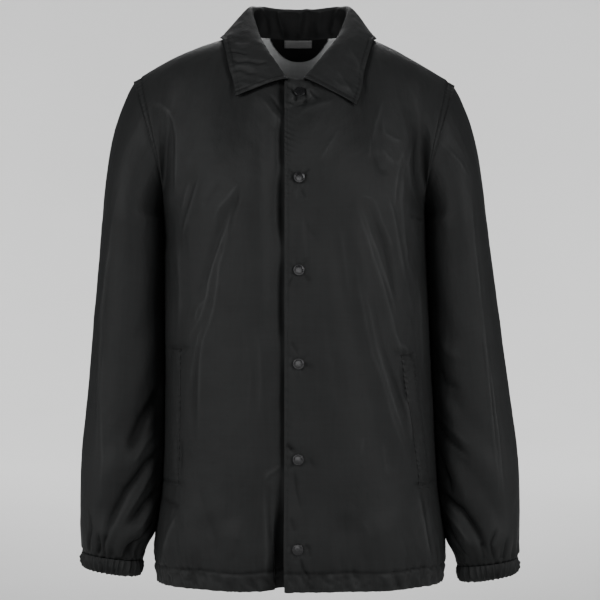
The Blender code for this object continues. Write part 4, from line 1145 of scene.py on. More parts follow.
CUFF = (
    SleeveRing(0.2955, -0.7053, 0.2145, -0.7163, 0.038, -0.013),
    SleeveRing(0.2965, -0.7130, 0.2145, -0.7240, 0.039, -0.013),
    SleeveRing(0.2950, -0.7215, 0.2165, -0.7325, 0.038, -0.013),
    SleeveRing(0.2925, -0.7275, 0.2195, -0.7385, 0.036, -0.013),
)
SLEEVE_DROP = {1: 0.001, -1: -0.007}
DROP_TOP, DROP_RUN = -0.30, 0.36
ARC_PER_DEGREE = 0.00105
SLEEVE_POINTS, CAP_ROWS, ARM_ROWS = 140, 52, 150
ALLOWANCE_ROWS = 14
TUCK_IN, TUCK_RISE, TUCK_DOWN = 0.0055, 0.0006, 0.0050
TUCK_ROWS = 3
SEAM_REACH = 0.009
UPWARDS = np.array([0.0, 0.0, 1.0])
CUFF_CLOTH = 0.0016

# %% Folds and creases of the sleeves: turn in degrees, height in millimetres
SleeveFold = namedtuple("SleeveFold", "turn0 z0 turn1 z1 width height")
SLEEVE_FOLDS = (
    SleeveFold(158, -0.430, 80, -0.560, 0.016, -0.0060),
    SleeveFold(160, -0.500, 60, -0.670, 0.014, -0.0065),
    SleeveFold(165, -0.560, 95, -0.680, 0.013, -0.0055),
    SleeveFold(170, -0.330, 105, -0.420, 0.018, -0.0045),
    SleeveFold(150, -0.470, 65, -0.610, 0.014, 0.0040),
    SleeveFold(215, -0.420, 290, -0.540, 0.018, -0.0055),
    SleeveFold(210, -0.520, 300, -0.650, 0.016, -0.0055),
    SleeveFold(25, -0.320, 18, -0.660, 0.012, 0.0030),
)
HIDDEN_SIDE = (
    Crease(((186, -470), (230, -505), (278, -566)), 7, -3.6),
    Crease(((190, -520), (236, -548), (284, -606)), 5, 3.0, 0.5),
    Crease(((192, -572), (240, -606), (296, -664)), 6, -3.8),
    Crease(((200, -622), (252, -656), (304, -694)), 5, -3.4),
    Crease(((206, -404), (240, -436), (270, -480)), 8, -3.0, 0.3),
    Crease(((330, -300), (322, -430), (330, -560)), 6, 2.8, 0.4),
    Crease(((278, -400), (312, -446), (346, -486)), 7, -3.2),
    Crease(((284, -372), (316, -414), (348, -450)), 6, 2.4, 0.5),
    Crease(((282, -496), (314, -534), (344, -590)), 7, -3.4),
    Crease(((290, -560), (320, -596), (346, -650)), 6, 2.6, 0.5),
    Crease(((304, -620), (326, -650), (342, -700)), 6, -3.6),
    Crease(((318, -150), (334, -220), (338, -300)), 8, 2.0, 0.4),
    Crease(((290, -330), (300, -420), (292, -520)), 9, 1.8, 0.3),
    Crease(((250, -250), (268, -300), (262, -360)), 8, 2.0, 0.4),
)
SLEEVE_CREASES = {
    -1: HIDDEN_SIDE + (
        Crease(((172, -466), (145, -489), (122, -518), (108, -549), (99, -584)), 18, -8.5),
        Crease(((172, -550), (130, -580), (104, -615), (85, -660), (76, -703)), 10, -8.0),
        Crease(((172, -605), (135, -633), (108, -667)), 9, -7.0),
        Crease(((172, -642), (152, -670), (123, -693), (113, -717)), 8, -6.5),
        Crease(((150, -527), (128, -549), (106, -584)), 7, 1.6),
        Crease(((151, -573), (129, -606), (111, -638), (99, -667)), 6, 1.6),
        Crease(((156, -626), (139, -650), (121, -675)), 5, 1.4),
        Crease(((67, -200), (60, -246), (55, -293), (51, -339), (46, -386), (49, -440), (55, -520),
                (60, -587)), 3.6, 1.9),
        Crease(((61, -279), (51, -326), (44, -373), (37, -420)), 3, 1.4),
        Crease(((55, -400), (58, -494), (71, -573), (71, -653)), 5, 1.4),
        Crease(((45, -635), (51, -668), (40, -710)), 4.5, -4.5),
        Crease(((66, -667), (69, -692), (61, -717)), 4.5, -4.2),
        Crease(((82, -667), (77, -687), (82, -717)), 5, -4.5),
        Crease(((127, -681), (123, -704), (125, -723)), 5, -4.0),
    ),
    1: HIDDEN_SIDE + (
        Crease(((172, -508), (153, -531), (127, -549), (100, -568)), 4, -3.2),
        Crease(((172, -492), (145, -515), (120, -535), (96, -556)), 6, 1.8),
        Crease(((172, -546), (166, -566), (143, -595), (135, -624)), 9, -5.0),
        Crease(((172, -582), (167, -612), (123, -637), (104, -665), (86, -713)), 8, -7.5),
        Crease(((172, -611), (172, -641), (154, -667), (125, -706)), 8, -7.0),
        Crease(((172, -601), (164, -631), (131, -659), (107, -693)), 5, 2.0),
        Crease(((172, -644), (172, -675), (160, -708)), 6, -6.0),
        Crease(((148, -439), (135, -466), (105, -477)), 6, -2.4),
        Crease(((141, -403), (127, -425), (97, -438)), 9, 1.6),
        Crease(((56, -195), (66, -242), (68, -282), (68, -335), (68, -396), (69, -452), (70, -496),
                (71, -549), (71, -609), (66, -663)), 3.2, 2.2),
        Crease(((67, -389), (64, -469), (64, -530), (65, -590), (59, -650)), 3, 2.2),
        Crease(((61, -402), (66, -469), (68, -529), (69, -589)), 2.6, -1.4),
        Crease(((67, -342), (70, -380), (67, -416)), 3, -1.6),
        Crease(((100, -116), (85, -140), (68, -166), (56, -195)), 6, 1.6),
        Crease(((75, -657), (86, -684), (80, -713)), 5, -5.0),
        Crease(((55, -669), (61, -691), (64, -713)), 4.5, -4.0),
        Crease(((99, -676), (101, -713)), 4.5, -3.6),
    ),
}

# %% Points of a sleeve


def arm_ring(row, turns, side):
    """A ring between the sleeve's outer and inner lines, bulging to half_depth at front and back."""
    drop = SLEEVE_DROP[side] * smooth((DROP_TOP - row.outer_z) / DROP_RUN)
    outer = np.array([row.outer_x, row.middle_y, row.outer_z - drop])
    inner = np.array([row.inner_x, row.middle_y, row.inner_z - drop])
    middle = (outer + inner) / 2
    ring = middle + (outer - middle) * np.cos(turns)[:, None]
    ring[:, 1] -= row.half_depth * np.sign(np.sin(turns)) * np.abs(np.sin(turns)) ** 0.9
    ring[:, 0] *= side
    return ring


def table_row(table, height):
    """A sleeve's or cuff's table, read at a height of its outer line."""
    heights = [row.outer_z for row in table]
    return SleeveRing(*(through(heights, column, height) for column in zip(*table)))


def armhole_ring(front, back, side, turns):
    """The two panels' armhole edges as one ring, down the front and up the back, tucked under them."""
    in_front = turns <= math.pi
    level = np.where(in_front, 2.0 - turns / math.pi, turns / math.pi)
    share = side * (1.0 - ARMHOLE_TUCK / HALF_PANEL)
    return np.where(in_front[:, None], *(panel.at(share, level, -ARMHOLE_SINK) for panel in (front, back)))


def sleeve_base(front, back, side, turns):
    """Rings from the armhole over the sleeve head and down the arm."""
    armhole = armhole_ring(front, back, side, turns)
    free = arm_ring(SLEEVE[0], turns, side)
    span = np.linalg.norm(free - armhole, axis=1)[:, None]
    over = (1 + np.cos(turns))[:, None] / 2
    mirror = np.array([side, 1.0, 1.0])
    first = armhole + mirror * (HEAD_LEAVE * over + PIT_LEAVE * (1 - over)) * span * HEAD_REACH
    second = free - mirror * ARM_AXIS * span * ARM_REACH
    rows = [bezier(armhole, first, second, free, f) for f in np.linspace(0.0, 1.0, CAP_ROWS)]
    heights = crowded(SLEEVE[0].outer_z, SLEEVE[-1].outer_z, ARM_ROWS + 1, 0.35)[1:]
    rows += [arm_ring(table_row(SLEEVE, height), turns, side) for height in heights]
    return pressed(np.array(rows), turns, side)


PRESS_GAP, PRESS_SOFT = -0.0002, 0.0008
PRESS_TOP, PRESS_END = -0.228, {1: -0.712, -1: -0.703}
PRESS_START, PRESS_FADE = 0.020, 0.034
PRESS_TURN, PRESS_SPREAD = 0.30, 1.1


def body_reach(y, z):
    """How far the body's side stands out at a depth and a height."""
    knots = [ring.height for ring in TORSO]
    width = through(knots, [ring.half_width for ring in TORSO], z)
    front = through(knots, [ring.front for ring in TORSO], z)
    back = through(knots, [ring.back for ring in TORSO], z)
    share = np.clip(np.abs(y) / np.where(y < 0, front, back), 0.0, 1.0)
    return width * (1.0 - share**SQUARENESS) ** (1 / SQUARENESS)


def pressed(grid, turns, side):
    """A hanging sleeve rests on the body's side, so its inner face widens until it lies flat on it."""
    x, y, z = grid[..., 0] * side, grid[..., 1], grid[..., 2]
    reach = body_reach(y, z) + PRESS_GAP
    inner = np.argmin(np.abs(turns - math.pi))
    short = np.maximum(x[:, inner] - reach[:, inner], 0.0) + PRESS_SOFT
    run = smooth((PRESS_TOP - z) / PRESS_START) * smooth((z - PRESS_END[side]) / PRESS_FADE)
    moved = x - short[:, None] * smooth((PRESS_TURN - np.cos(turns)) / PRESS_SPREAD) * run
    off = moved - reach
    flat = reach + 0.5 * (off + np.sqrt(off**2 + PRESS_SOFT**2))
    grid[..., 0] = side * (flat * run + x * (1.0 - run))
    return grid


# %% Creased sleeves
CUFF_GATHERS = 30
CUFF_GATHER_DEPTH = 0.0021
SLEEVE_WAVES, SLEEVE_CRUMPLE = Crumple(0.0006, 0.050), Crumple(0.00035, 0.014)
BLOUSE_PUCKER, GATHER_PUCKER = Pucker(0.026, 0.0036, 0.028), Pucker(0.0125, 0.0024, 0.013)
FOLD_SHARE = 0.45
RIDGE_LEAST, RIDGE_MORE = 0.0008, 0.0040
TROUGH_LEAST, TROUGH_MORE = 0.0002, 0.0200
ROLL_HEIGHT, ROLL_PLACE, ROLL_WIDTH = 0.0005, 0.009, 0.006


def cuff_wave(turns):
    """The elastic draws the cloth into narrow gathers, no two alike."""
    phase = CUFF_GATHERS * turns + 1.5 * np.sin(turns + 0.4)
    phase += 1.1 * np.sin(3 * turns) + 0.8 * np.sin(7 * turns)
    size = 0.75 + 0.25 * np.sin(5 * turns + 1.0) + 0.2 * np.sin(11 * turns)
    return CUFF_GATHER_DEPTH * size * (1.0 - 2.0 * np.abs(np.sin(phase / 2)) ** 0.8)


def lengths_down(grid):
    """How far each ring lies from the first one, along the cloth, on average."""
    return lengths_from(grid, 0).mean(axis=1, keepdims=True)


def sleeve_heights(grid, turns, side, seed):
    """Folds, creases, gathers and crumple of a sleeve, calm at its two seams."""
    around = np.broadcast_to(np.degrees(turns) * ARC_PER_DEGREE, grid.shape[:2])
    z = grid[..., 2]
    seen = leaned(grid)[..., 2] + SLEEVE_DROP[side] * 0.5
    folds, lines = [], []
    for fold in SLEEVE_FOLDS:
        folds.append(fold._replace(turn0=fold.turn0 * ARC_PER_DEGREE, turn1=fold.turn1 * ARC_PER_DEGREE))
    for crease in SLEEVE_CREASES[side]:
        points = [(turn * ARC_PER_DEGREE * 1000, height) for turn, height in crease.points]
        lines.append(crease._replace(points=points))
    creased, painted_crease_light = crease_heights(around, seen, lines)
    height = FOLD_SHARE * fold_heights(around, z, folds) + creased
    down = np.broadcast_to(lengths_down(grid), around.shape)
    above = down[-1] - down
    height += SLEEVE_WAVES.height * uneven(around, down * 0.4, SLEEVE_WAVES.size, seed)
    height += SLEEVE_CRUMPLE.height * uneven(around, down * 0.7, SLEEVE_CRUMPLE.size, seed + 3.0)
    height += puckers(around, above - 0.004, *BLOUSE_PUCKER, seed + 1.0)
    height += puckers(around, above - 0.002, *GATHER_PUCKER, seed + 2.0)
    beside = np.cos(turns)[None, :]
    height = np.minimum(height, RIDGE_LEAST + RIDGE_MORE * smooth((beside + 0.95) / 0.4))
    height = np.maximum(height, -TROUGH_LEAST - TROUGH_MORE * smooth((beside + 0.985) / 0.30))
    height = height * smooth(down / 0.03)
    height += ROLL_HEIGHT * np.exp(-(((down - ROLL_PLACE) / ROLL_WIDTH) ** 2)) * smooth(down / 0.004)
    end = smooth(1.0 - above / SEAM_REACH)
    # The second result is painted light: highlights on crease crests, painted shade in deep troughs.
    broken = 0.8 + 0.5 * uneven(around, down * 0.5, 0.030, seed + 5.5, 2)
    return height * (1.0 - end) + cuff_wave(turns)[None, :] * end, painted_crease_light * broken


def sew_sleeve(word, side, seed):
    turns = np.arange(SLEEVE_POINTS) * 2 * math.pi / SLEEVE_POINTS
    grid = sleeve_base(PANELS[word], PANELS["back"], side, turns)
    normals = grid_normals(grid, ring=True) * side
    down = lengths_down(grid)
    normals[..., 2] *= 1.0 - smooth(1.0 - (down[-1] - down) / SEAM_REACH)
    normals = unit(normals)
    heights, crest = sleeve_heights(grid, turns, side, seed)
    outer = grid + normals * heights[..., None]
    inner = outer - normals * CLOTH
    inner[-1] += UPWARDS * CLOTH
    tuck = grid[-1] - normals[-1] * TUCK_IN
    tucked = np.array([tuck + UPWARDS * TUCK_RISE, tuck - UPWARDS * TUCK_DOWN])
    behind = tucked - normals[-1] * CLOTH
    behind[0] += UPWARDS * CLOTH
    outer = np.concatenate([outer, tucked])
    inner = np.concatenate([inner, behind])
    crest = np.concatenate([crest, np.zeros((2, SLEEVE_POINTS))])
    piece = add_shell(f"sleeve_{word}_cloth", outer, inner, ("shell", "reverse"), True, side < 0, crest)
    inside = (len(outer) - 1) * SLEEVE_POINTS
    head = np.arange(inside, inside + ALLOWANCE_ROWS * SLEEVE_POINTS)
    end = np.arange(2 * inside - TUCK_ROWS * SLEEVE_POINTS, 2 * inside)
    repaint(piece, np.concatenate([head, end]), 0)


for word, side, seed in (("left", 1, 41.0), ("right", -1, 53.0)):
    sew_sleeve(word, side, seed)

# %% [markdown]
# ## Cuffs
#
# A cuff is a casing with elastic inside. Sewn flat and let go, it shrinks to the wrist and the cloth
# stands in close ridges, deepest halfway down and pinched at both edges.

# %% Gathered cuffs
CUFF_POINTS, CUFF_ROWS = 300, 22
CUFF_RADIUS, CUFF_HEIGHT = 0.037, 0.022
CUFF_DRIFT, CUFF_CRUMPLE = 0.10, Crumple(0.0005, 0.007)
CUFF_SWELL, CUFF_PINCH = 0.0012, 0.0016


def sew_cuff(word, side, seed):
    turns = np.arange(CUFF_POINTS) * 2 * math.pi / CUFF_POINTS
    heights = np.linspace(CUFF[0].outer_z, CUFF[-1].outer_z, CUFF_ROWS)
    grid = np.array([arm_ring(table_row(CUFF, height), turns, side) for height in heights])
    normals = grid_normals(grid, ring=True) * side
    down = np.linspace(0.0, 1.0, CUFF_ROWS)[:, None]
    drift = CUFF_DRIFT * np.sin(3 * turns + 2.0)[None, :] * down
    swell = CUFF_SWELL * np.sin(math.pi * down) - CUFF_PINCH * smooth((down - 0.86) / 0.14)
    wave = np.array([cuff_wave(turns + shift) for shift in drift])
    around, fallen = np.broadcast_arrays(turns * CUFF_RADIUS, down * CUFF_HEIGHT)
    crumple = CUFF_CRUMPLE.height * uneven(around, fallen, CUFF_CRUMPLE.size, seed)
    outer = grid + normals * (wave * (0.8 + 0.5 * np.sin(math.pi * down)) + swell + crumple)[..., None]
    add_shell(f"cuff_{word}_cloth", outer, outer - normals * CUFF_CLOTH, ("shell",), True, side < 0)


for word, side, seed in (("left", 1, 61.0), ("right", -1, 67.0)):
    sew_cuff(word, side, seed)

# %% [markdown]
# ## Collar
#
# The collar is one piece: a stand rises from the neck seam, folds over along the roll line, and falls as
# a leaf to its free edge, which lies on the shoulders and ends in two points. Columns run from the neck
# seam over the fold to the edge, so stand and leaf stay one sheet of cloth.

# %% Sizes of the collar
RollPoint = namedtuple("RollPoint", "along x y z")
ROLL = (
    RollPoint(0.00, 0.0000, 0.0850, 0.0550),
    RollPoint(0.16, 0.0310, 0.0790, 0.0555),
    RollPoint(0.31, 0.0560, 0.0570, 0.0550),
    RollPoint(0.45, 0.0655, 0.0220, 0.0460),
    RollPoint(0.60, 0.0550, -0.0220, 0.0080),
    RollPoint(0.80, 0.0360, -0.0660, -0.0270),
    RollPoint(1.00, 0.0106, -0.1045, -0.0640),
)
EdgePoint = namedtuple("EdgePoint", "along face share level lift")
BACK_EDGE = (
    EdgePoint(0.00, "back", 0.00, 1.87, 0.0060),
    EdgePoint(0.16, "back", 0.20, 1.87, 0.0060),
    EdgePoint(0.31, "back", 0.40, 1.88, 0.0055),
    EdgePoint(0.47, "back", 0.56, 1.97, 0.0050),
)
EDGES = {
    1: BACK_EDGE + (
        EdgePoint(0.60, "front", 0.540, 1.890, 0.0050),
        EdgePoint(0.70, "front", 0.501, 1.760, 0.0050),
        EdgePoint(0.80, "front", 0.458, 1.663, 0.0050),
        EdgePoint(0.90, "front", 0.398, 1.618, 0.0050),
        EdgePoint(1.00, "front", 0.325, 1.605, 0.0050),
    ),
    -1: BACK_EDGE + (
        EdgePoint(0.60, "front", 0.545, 1.885, 0.0050),
        EdgePoint(0.70, "front", 0.516, 1.763, 0.0050),
        EdgePoint(0.80, "front", 0.488, 1.679, 0.0050),
        EdgePoint(0.90, "front", 0.452, 1.608, 0.0050),
        EdgePoint(1.00, "front", 0.398, 1.577, 0.0050),
    ),
}
COLLAR_SHIFT, SEAM_SINK = -0.0053, 0.0015
COLLAR_END = {1: 0.026, -1: 0.078}
ROLL_HANDLE, LEAF_BULGE = 0.010, 0.007
COLLAR_CLOTH = 0.0013
COLLAR_COLUMNS, STAND_ROWS, LEAF_ROWS = 250, 18, 42
LEAF_CREASES = (
    Crease(((-99, -20), (-86, -22), (-74, -27), (-66, -27)), 3.0, -2.0),
    Crease(((-94, -27), (-82, -28), (-66, -33)), 4.5, 0.7),
    Crease(((-97, -30), (-84, -37), (-70, -37), (-56, -41), (-40, -40)), 3.0, -2.4),
    Crease(((-90, -42), (-76, -43), (-58, -49)), 4.5, 0.8),
    Crease(((-94, -50), (-80, -48), (-68, -54), (-52, -56)), 3.2, -1.5),
    Crease(((-92, -10), (-78, -14), (-64, -12)), 4, 1.2, 0.4),
    Crease(((-84, -64), (-66, -72), (-46, -70)), 6, 1.2, 0.4),
    Crease(((-60, -60), (-42, -68), (-32, -60)), 4, 1.0, 0.4),
    Crease(((62, -14), (76, -36), (84, -58)), 7, 1.2, 0.4),
    Crease(((46, -46), (60, -70), (74, -88)), 7, 1.2, -0.4),
    Crease(((40, -60), (52, -72), (70, -78)), 5, 1.1, 0.4),
)
STAND_CREASES = (
    Crease(((-58, 60), (-50, 36), (-44, 6)), 8, 3.4, 0.5),
    Crease(((-32, 64), (-27, 40), (-22, 20), (-20, 2)), 6, -4.4, -0.5),
    Crease(((-4, 64), (2, 42), (-2, 26), (1, 2)), 6, -3.6, 0.5),
    Crease(((10, 62), (12, 34), (8, 6)), 8, 2.4),
    Crease(((30, 62), (24, 34), (26, 6)), 8, -2.6, 0.3),
    Crease(((59, 58), (50, 36), (44, 6)), 8, 3.4, -0.5),
)

# %% Points of the collar


def collar_seam(alongs):
    """The neck seam: half of the collar's length lies on the back, a quarter on each front."""
    side, size = np.where(alongs >= 0, 1, -1), np.abs(alongs)
    end = np.where(side > 0, COLLAR_END[1], COLLAR_END[-1])
    front_share = end + (1.0 - size) * 2 * (NECK_SHARE - end)
    on_back = PANELS["back"].at(2.0 * size * NECK_SHARE * side, 2.0, creased=False)
    on_left = PANELS["left"].at(front_share, 2.0, creased=False)
    on_right = PANELS["right"].at(-front_share, 2.0, creased=False)
    on_front = np.where((side > 0)[:, None], on_left, on_right)
    return np.where((size < 0.5)[:, None], on_back, on_front) - np.array([0.0, 0.0, SEAM_SINK])


def collar_edge(alongs):
    """The free edge and the way it faces, from places on each side's own panels."""
    edge, lift = np.empty((len(alongs), 3)), np.empty((len(alongs), 3))
    for side, word in ((1, "left"), (-1, "right")):
        mine = (alongs >= 0) == (side > 0)
        knots = [row.along for row in EDGES[side]]
        points, normals = [], []
        for row in EDGES[side]:
            panel = PANELS["back"] if row.face == "back" else PANELS[word]
            points.append(panel.at(row.share * side, row.level, row.lift, creased=False))
            normals.append(panel.normal(row.share * side, row.level, creased=False))
        for axis in range(3):
            edge[mine, axis] = through(knots, np.array(points)[:, axis], np.abs(alongs[mine]))
            lift[mine, axis] = through(knots, np.array(normals)[:, axis], np.abs(alongs[mine]))
    return edge, unit(lift)


def collar_base(alongs):
    """Rows from the neck seam up the stand, over the fold and down the leaf."""
    base = collar_seam(alongs)
    edge, lift = collar_edge(alongs)
    size = np.abs(alongs)
    knots = [row.along for row in ROLL]
    roll = np.stack([through(knots, [getattr(row, axis) for row in ROLL], size) for axis in "xyz"], axis=1)
    front = smooth((size - 0.45) / 0.55)
    roll[:, 0] = roll[:, 0] * np.where(alongs < 0, -1, 1) + COLLAR_SHIFT * front
    up, down = roll - base, edge - roll
    over = unit(unit(up) + unit(down) + lift)
    handle = np.minimum(ROLL_HANDLE, 0.45 * np.linalg.norm(up, axis=1))[:, None]
    stand_steps = np.linspace(0.0, 1.0, STAND_ROWS, endpoint=False)
    stand = [bezier(base, base + up * 0.45, roll - over * handle, roll, f) for f in stand_steps]
    middle = roll + down * 0.55 + lift * (LEAF_BULGE * (1.0 - 0.4 * front))[:, None]
    leaf_steps = np.linspace(0.0, 1.0, LEAF_ROWS) ** 1.15
    leaf = [bezier(roll, roll + over * handle, middle, edge, f) for f in leaf_steps]
    return np.array(stand + leaf)


# %% Creased collar
EDGE_STITCH, EDGE_PUCKER = 0.0065, Pucker(0.0085, 0.0007, 0.006)
COLLAR_GROOVE, COLLAR_SHADE = Groove(0.0013, 0.0006), Groove(0.0011, 0.5)
COLLAR_WAVES, COLLAR_CRUMPLE = Crumple(0.0007, 0.030), Crumple(0.0003, 0.010)
STAND_SHADED_ROWS = STAND_ROWS - 4


def collar_heights(grid):
    down, along = lengths_from(grid, 0), lengths_from(grid, 1)
    to_edge = down[-1] - down
    to_left, to_right = along[:, -1:] - along, along
    to_point = np.minimum(to_left, to_right)
    leaf = smooth((np.arange(len(grid)) - STAND_ROWS) / 6.0)[:, None]
    seen = leaned(grid)
    fade = smooth(to_edge / 0.004) * smooth(to_point / 0.004)
    creased, painted_crease_light = crease_heights(seen[..., 0], seen[..., 2], LEAF_CREASES)
    height = leaf * creased * fade
    stand = smooth((STAND_ROWS + 3.0 - np.arange(len(grid))) / 6.0)[:, None] * smooth(down / 0.010)
    height += stand * crease_heights(seen[..., 0], seen[..., 2], STAND_CREASES)[0] * (seen[..., 1] > 0.02)
    for crumple, seed in ((COLLAR_WAVES, 71.0), (COLLAR_CRUMPLE, 73.0)):
        height += crumple.height * uneven(along, down, crumple.size, seed) * smooth(down / 0.01)
    edges = puckers(along, to_edge, *EDGE_PUCKER, 75.0) + puckers(down, to_point, *EDGE_PUCKER, 77.0)
    height += leaf * edges * fade
    # Painted shade along the leaf's rows of stitches, with the painted light of its creases.
    lines = np.zeros_like(height)
    for away in (to_edge - EDGE_STITCH, to_point - EDGE_STITCH):
        height += leaf * groove(away, *COLLAR_GROOVE)
        lines += groove(away, *COLLAR_SHADE)
    return height, leaf * (painted_crease_light * fade + lines)


def sew_collar():
    alongs = crowded(-1.0, 1.0, COLLAR_COLUMNS, 0.35)
    grid = collar_base(alongs)
    normals = grid_normals(grid)
    heights, crest = collar_heights(grid)
    outer = grid + normals * heights[..., None]
    normals[0] = unit(normals[0] * (1.0, 1.0, 0.0))
    inner = outer - normals * COLLAR_CLOTH
    piece = add_shell("collar_cloth", outer, inner, ("shell", "inside"), crest=crest)
    # The stand's lower rows take the darker nylon: painted shade inside the neck.
    repaint(piece, slice(0, STAND_SHADED_ROWS * (COLLAR_COLUMNS - 1)), 1)
    return outer


COLLAR = sew_collar()

# %% [markdown]
# ## Pocket welts, neck facing and label
#
# A welt is the stiff strip that finishes a slanted pocket mouth. It lies on the front, so it is made
# from the front's own creased points, lifted off by its thickness and pressed down along its edges. The
# facing and its bare label lie inside the back neck in the same way, on the other side of the cloth.

# %% Pocket welts
Welt = namedtuple("Welt", "top_share bottom_share top_height bottom_height")
WELTS = {1: Welt(0.585, 0.700, -0.428, -0.606), -1: Welt(0.700, 0.715, -0.421, -0.603)}
WELT_WIDTH = 0.026
WELT_LENGTH = 0.18
WELT_LIFT, WELT_BED = 0.0012, 0.0002
WELT_STITCH, WELT_GROOVE = 0.0035, Groove(0.0012, 0.0004)
WELT_PUCKER = Pucker(0.0085, 0.0007, 0.005)
WELT_ROWS, WELT_COLUMNS = 90, 18


def welt_place(side, across, down):
    """Share and level of a place on a welt: across from -1 to 1, down from 0 to 1."""
    welt = WELTS[side]
    share = welt.top_share + (welt.bottom_share - welt.top_share) * down
    height = welt.top_height + (welt.bottom_height - welt.top_height) * down
    return (share + across * WELT_WIDTH / 2 / HALF_PANEL) * side, (height - HEM) / (ARMPIT - HEM)


def sew_welt(word, side, seed):
    panel = PANELS[word]
    across, down = np.meshgrid(crowded(-1.0, 1.0, WELT_COLUMNS), crowded(0.0, 1.0, WELT_ROWS, 0.2))
    share, level = welt_place(side, across, down)
    to_edge = (1.0 - np.abs(across)) * WELT_WIDTH / 2
    to_end = np.minimum(down, 1.0 - down) * WELT_LENGTH
    lift = WELT_LIFT * (0.35 + 0.65 * smooth(np.minimum(to_edge / 0.0040, to_end / 0.0090)))
    lift += groove(to_edge - WELT_STITCH, *WELT_GROOVE)
    lift += puckers(down * WELT_LENGTH, to_edge, *WELT_PUCKER, seed)
    outer = panel.at(share, level) + panel.normal(share, level) * lift[..., None]
    inner = panel.at(share, level, WELT_BED)
    add_shell(f"pocket_welt_{word}_cloth", outer, inner, ("shell",), flip=side > 0)
    return outer


WELT_SHEETS = [sew_welt("left", 1, 81.0), sew_welt("right", -1, 83.0)]

# %% Neck facing and label
InsidePatch = namedtuple("InsidePatch", "middle half_share top drop front rear")
NECK_FACING = InsidePatch(-0.006, 0.160, 1.999, 0.146, 0.0023, 0.0012)
NECK_LABEL = InsidePatch(-0.010, 0.0750, 1.990, 0.051, 0.0036, 0.0027)
FACING_CORNER = 0.07


def patch_shell(name, patch, finish, reach, rows, columns):
    """A patch inside the back: its front faces the neck and its rear the back panel."""
    across, down = np.meshgrid(np.linspace(-1.0, 1.0, columns), np.linspace(0.0, 1.0, rows))
    share = patch.middle + across * patch.half_share
    level = patch.top - down * patch.drop * reach(across)
    base = PANELS["back"].at(share, level, creased=False)
    front = base - (0.0, patch.front, 0.0)
    add_shell(name, front, base - (0.0, patch.rear, 0.0), (finish,))
    return front


def half_moon(across):
    return FACING_CORNER + (1.0 - FACING_CORNER) * (1.0 - np.abs(across) ** 2.4)


def even(across):
    return np.ones_like(across)


FACING_SHEET = patch_shell("neck_facing_cloth", NECK_FACING, "facing", half_moon, 24, 60)
LABEL_SHEET = patch_shell("neck_label_cloth", NECK_LABEL, "label", even, 10, 30)

# %% [markdown]
# ## Snaps
#
# A snap's cap is a stamped disc: a low dome inside a rolled rim that turns under to grip the cloth. It
# could be modelled six times, but a turned profile that Geometry Nodes sets on six places keeps them
# alike. Each place carries its own rotation, from the front's normal there.

# %% Geometry Nodes that set one shape on many places


class Tree:
    """A Geometry Nodes tree with named inputs, built node by node."""

    def __init__(self, name, **inputs):
        self.group = bpy.data.node_groups.new(name, "GeometryNodeTree")
        self.group.interface.new_socket("Geometry", in_out="INPUT", socket_type="NodeSocketGeometry")
        self.group.interface.new_socket("Geometry", in_out="OUTPUT", socket_type="NodeSocketGeometry")
        for label, kind in inputs.items():
            self.group.interface.new_socket(label, in_out="INPUT", socket_type="NodeSocket" + kind)
        self.given = self.group.nodes.new("NodeGroupInput").outputs
        self.result = self.group.nodes.new("NodeGroupOutput").inputs[0]

    def node(self, kind, settings=None, sockets=None):
        made = self.group.nodes.new(kind)
        for name, value in (settings or {}).items():
            setattr(made, name, value)
        for name, value in (sockets or {}).items():
            if isinstance(value, bpy.types.NodeSocket):
                self.group.links.new(value, made.inputs[name])
            else:
                made.inputs[name].default_value = value
        return made.outputs[0]

    def end(self, instances):
        """Realize Instances and Set Material, because instances are lost when the part is exported."""
        real = self.node("GeometryNodeRealizeInstances", {}, {"Geometry": instances})
        sockets = {"Geometry": real, "Material": self.given["Material"]}
        self.group.links.new(self.node("GeometryNodeSetMaterial", {}, sockets), self.result)

    def apply(self, carrier, name, **values):
        """Run the tree on an object and turn the result into a plain mesh piece."""
        modifier = carrier.modifiers.new(name, "NODES")
        modifier.node_group = self.group
        for item in self.group.interface.items_tree:
            if item.in_out == "INPUT" and item.name in values:
                modifier[item.identifier] = values[item.name]
        evaluated = carrier.evaluated_get(bpy.context.evaluated_depsgraph_get())
        mesh = bpy.data.meshes.new_from_object(evaluated)
        carrier.modifiers.remove(modifier)
        bpy.data.objects.remove(carrier)
        mesh.name = name
        mesh.shade_smooth()
        PIECES[name] = link(name, mesh)
        print(name, len(mesh.polygons), "faces")


def carrier_of(name, points, edges=(), turns=None):
    """A bare mesh that a tree works on: points, or lines of points, with a rotation on each."""
    mesh = bpy.data.meshes.new(name)
    mesh.from_pydata(np.asarray(points).tolist(), list(edges), [])
    if turns is not None:
        layer = mesh.attributes.new("turn", "FLOAT_VECTOR", "POINT")
        layer.data.foreach_set("vector", np.asarray(turns, float).ravel())
    return link(name, mesh)


# %% Snap caps
SHADOW_RING_START, SHADOW_RING_RANGE = 0.90, 0.06
CAP_PROFILE = (
    (0.00, 1.00), (0.25, 0.99), (0.48, 0.95), (0.66, 0.88), (0.76, 0.81), (0.82, 0.755), (0.855, 0.75),
    (0.90, 0.765), (0.945, 0.72), (0.98, 0.60), (1.00, 0.44), (0.99, 0.27), (0.95, 0.14), (0.88, 0.08),
    (0.60, 0.05), (0.00, 0.05),
)


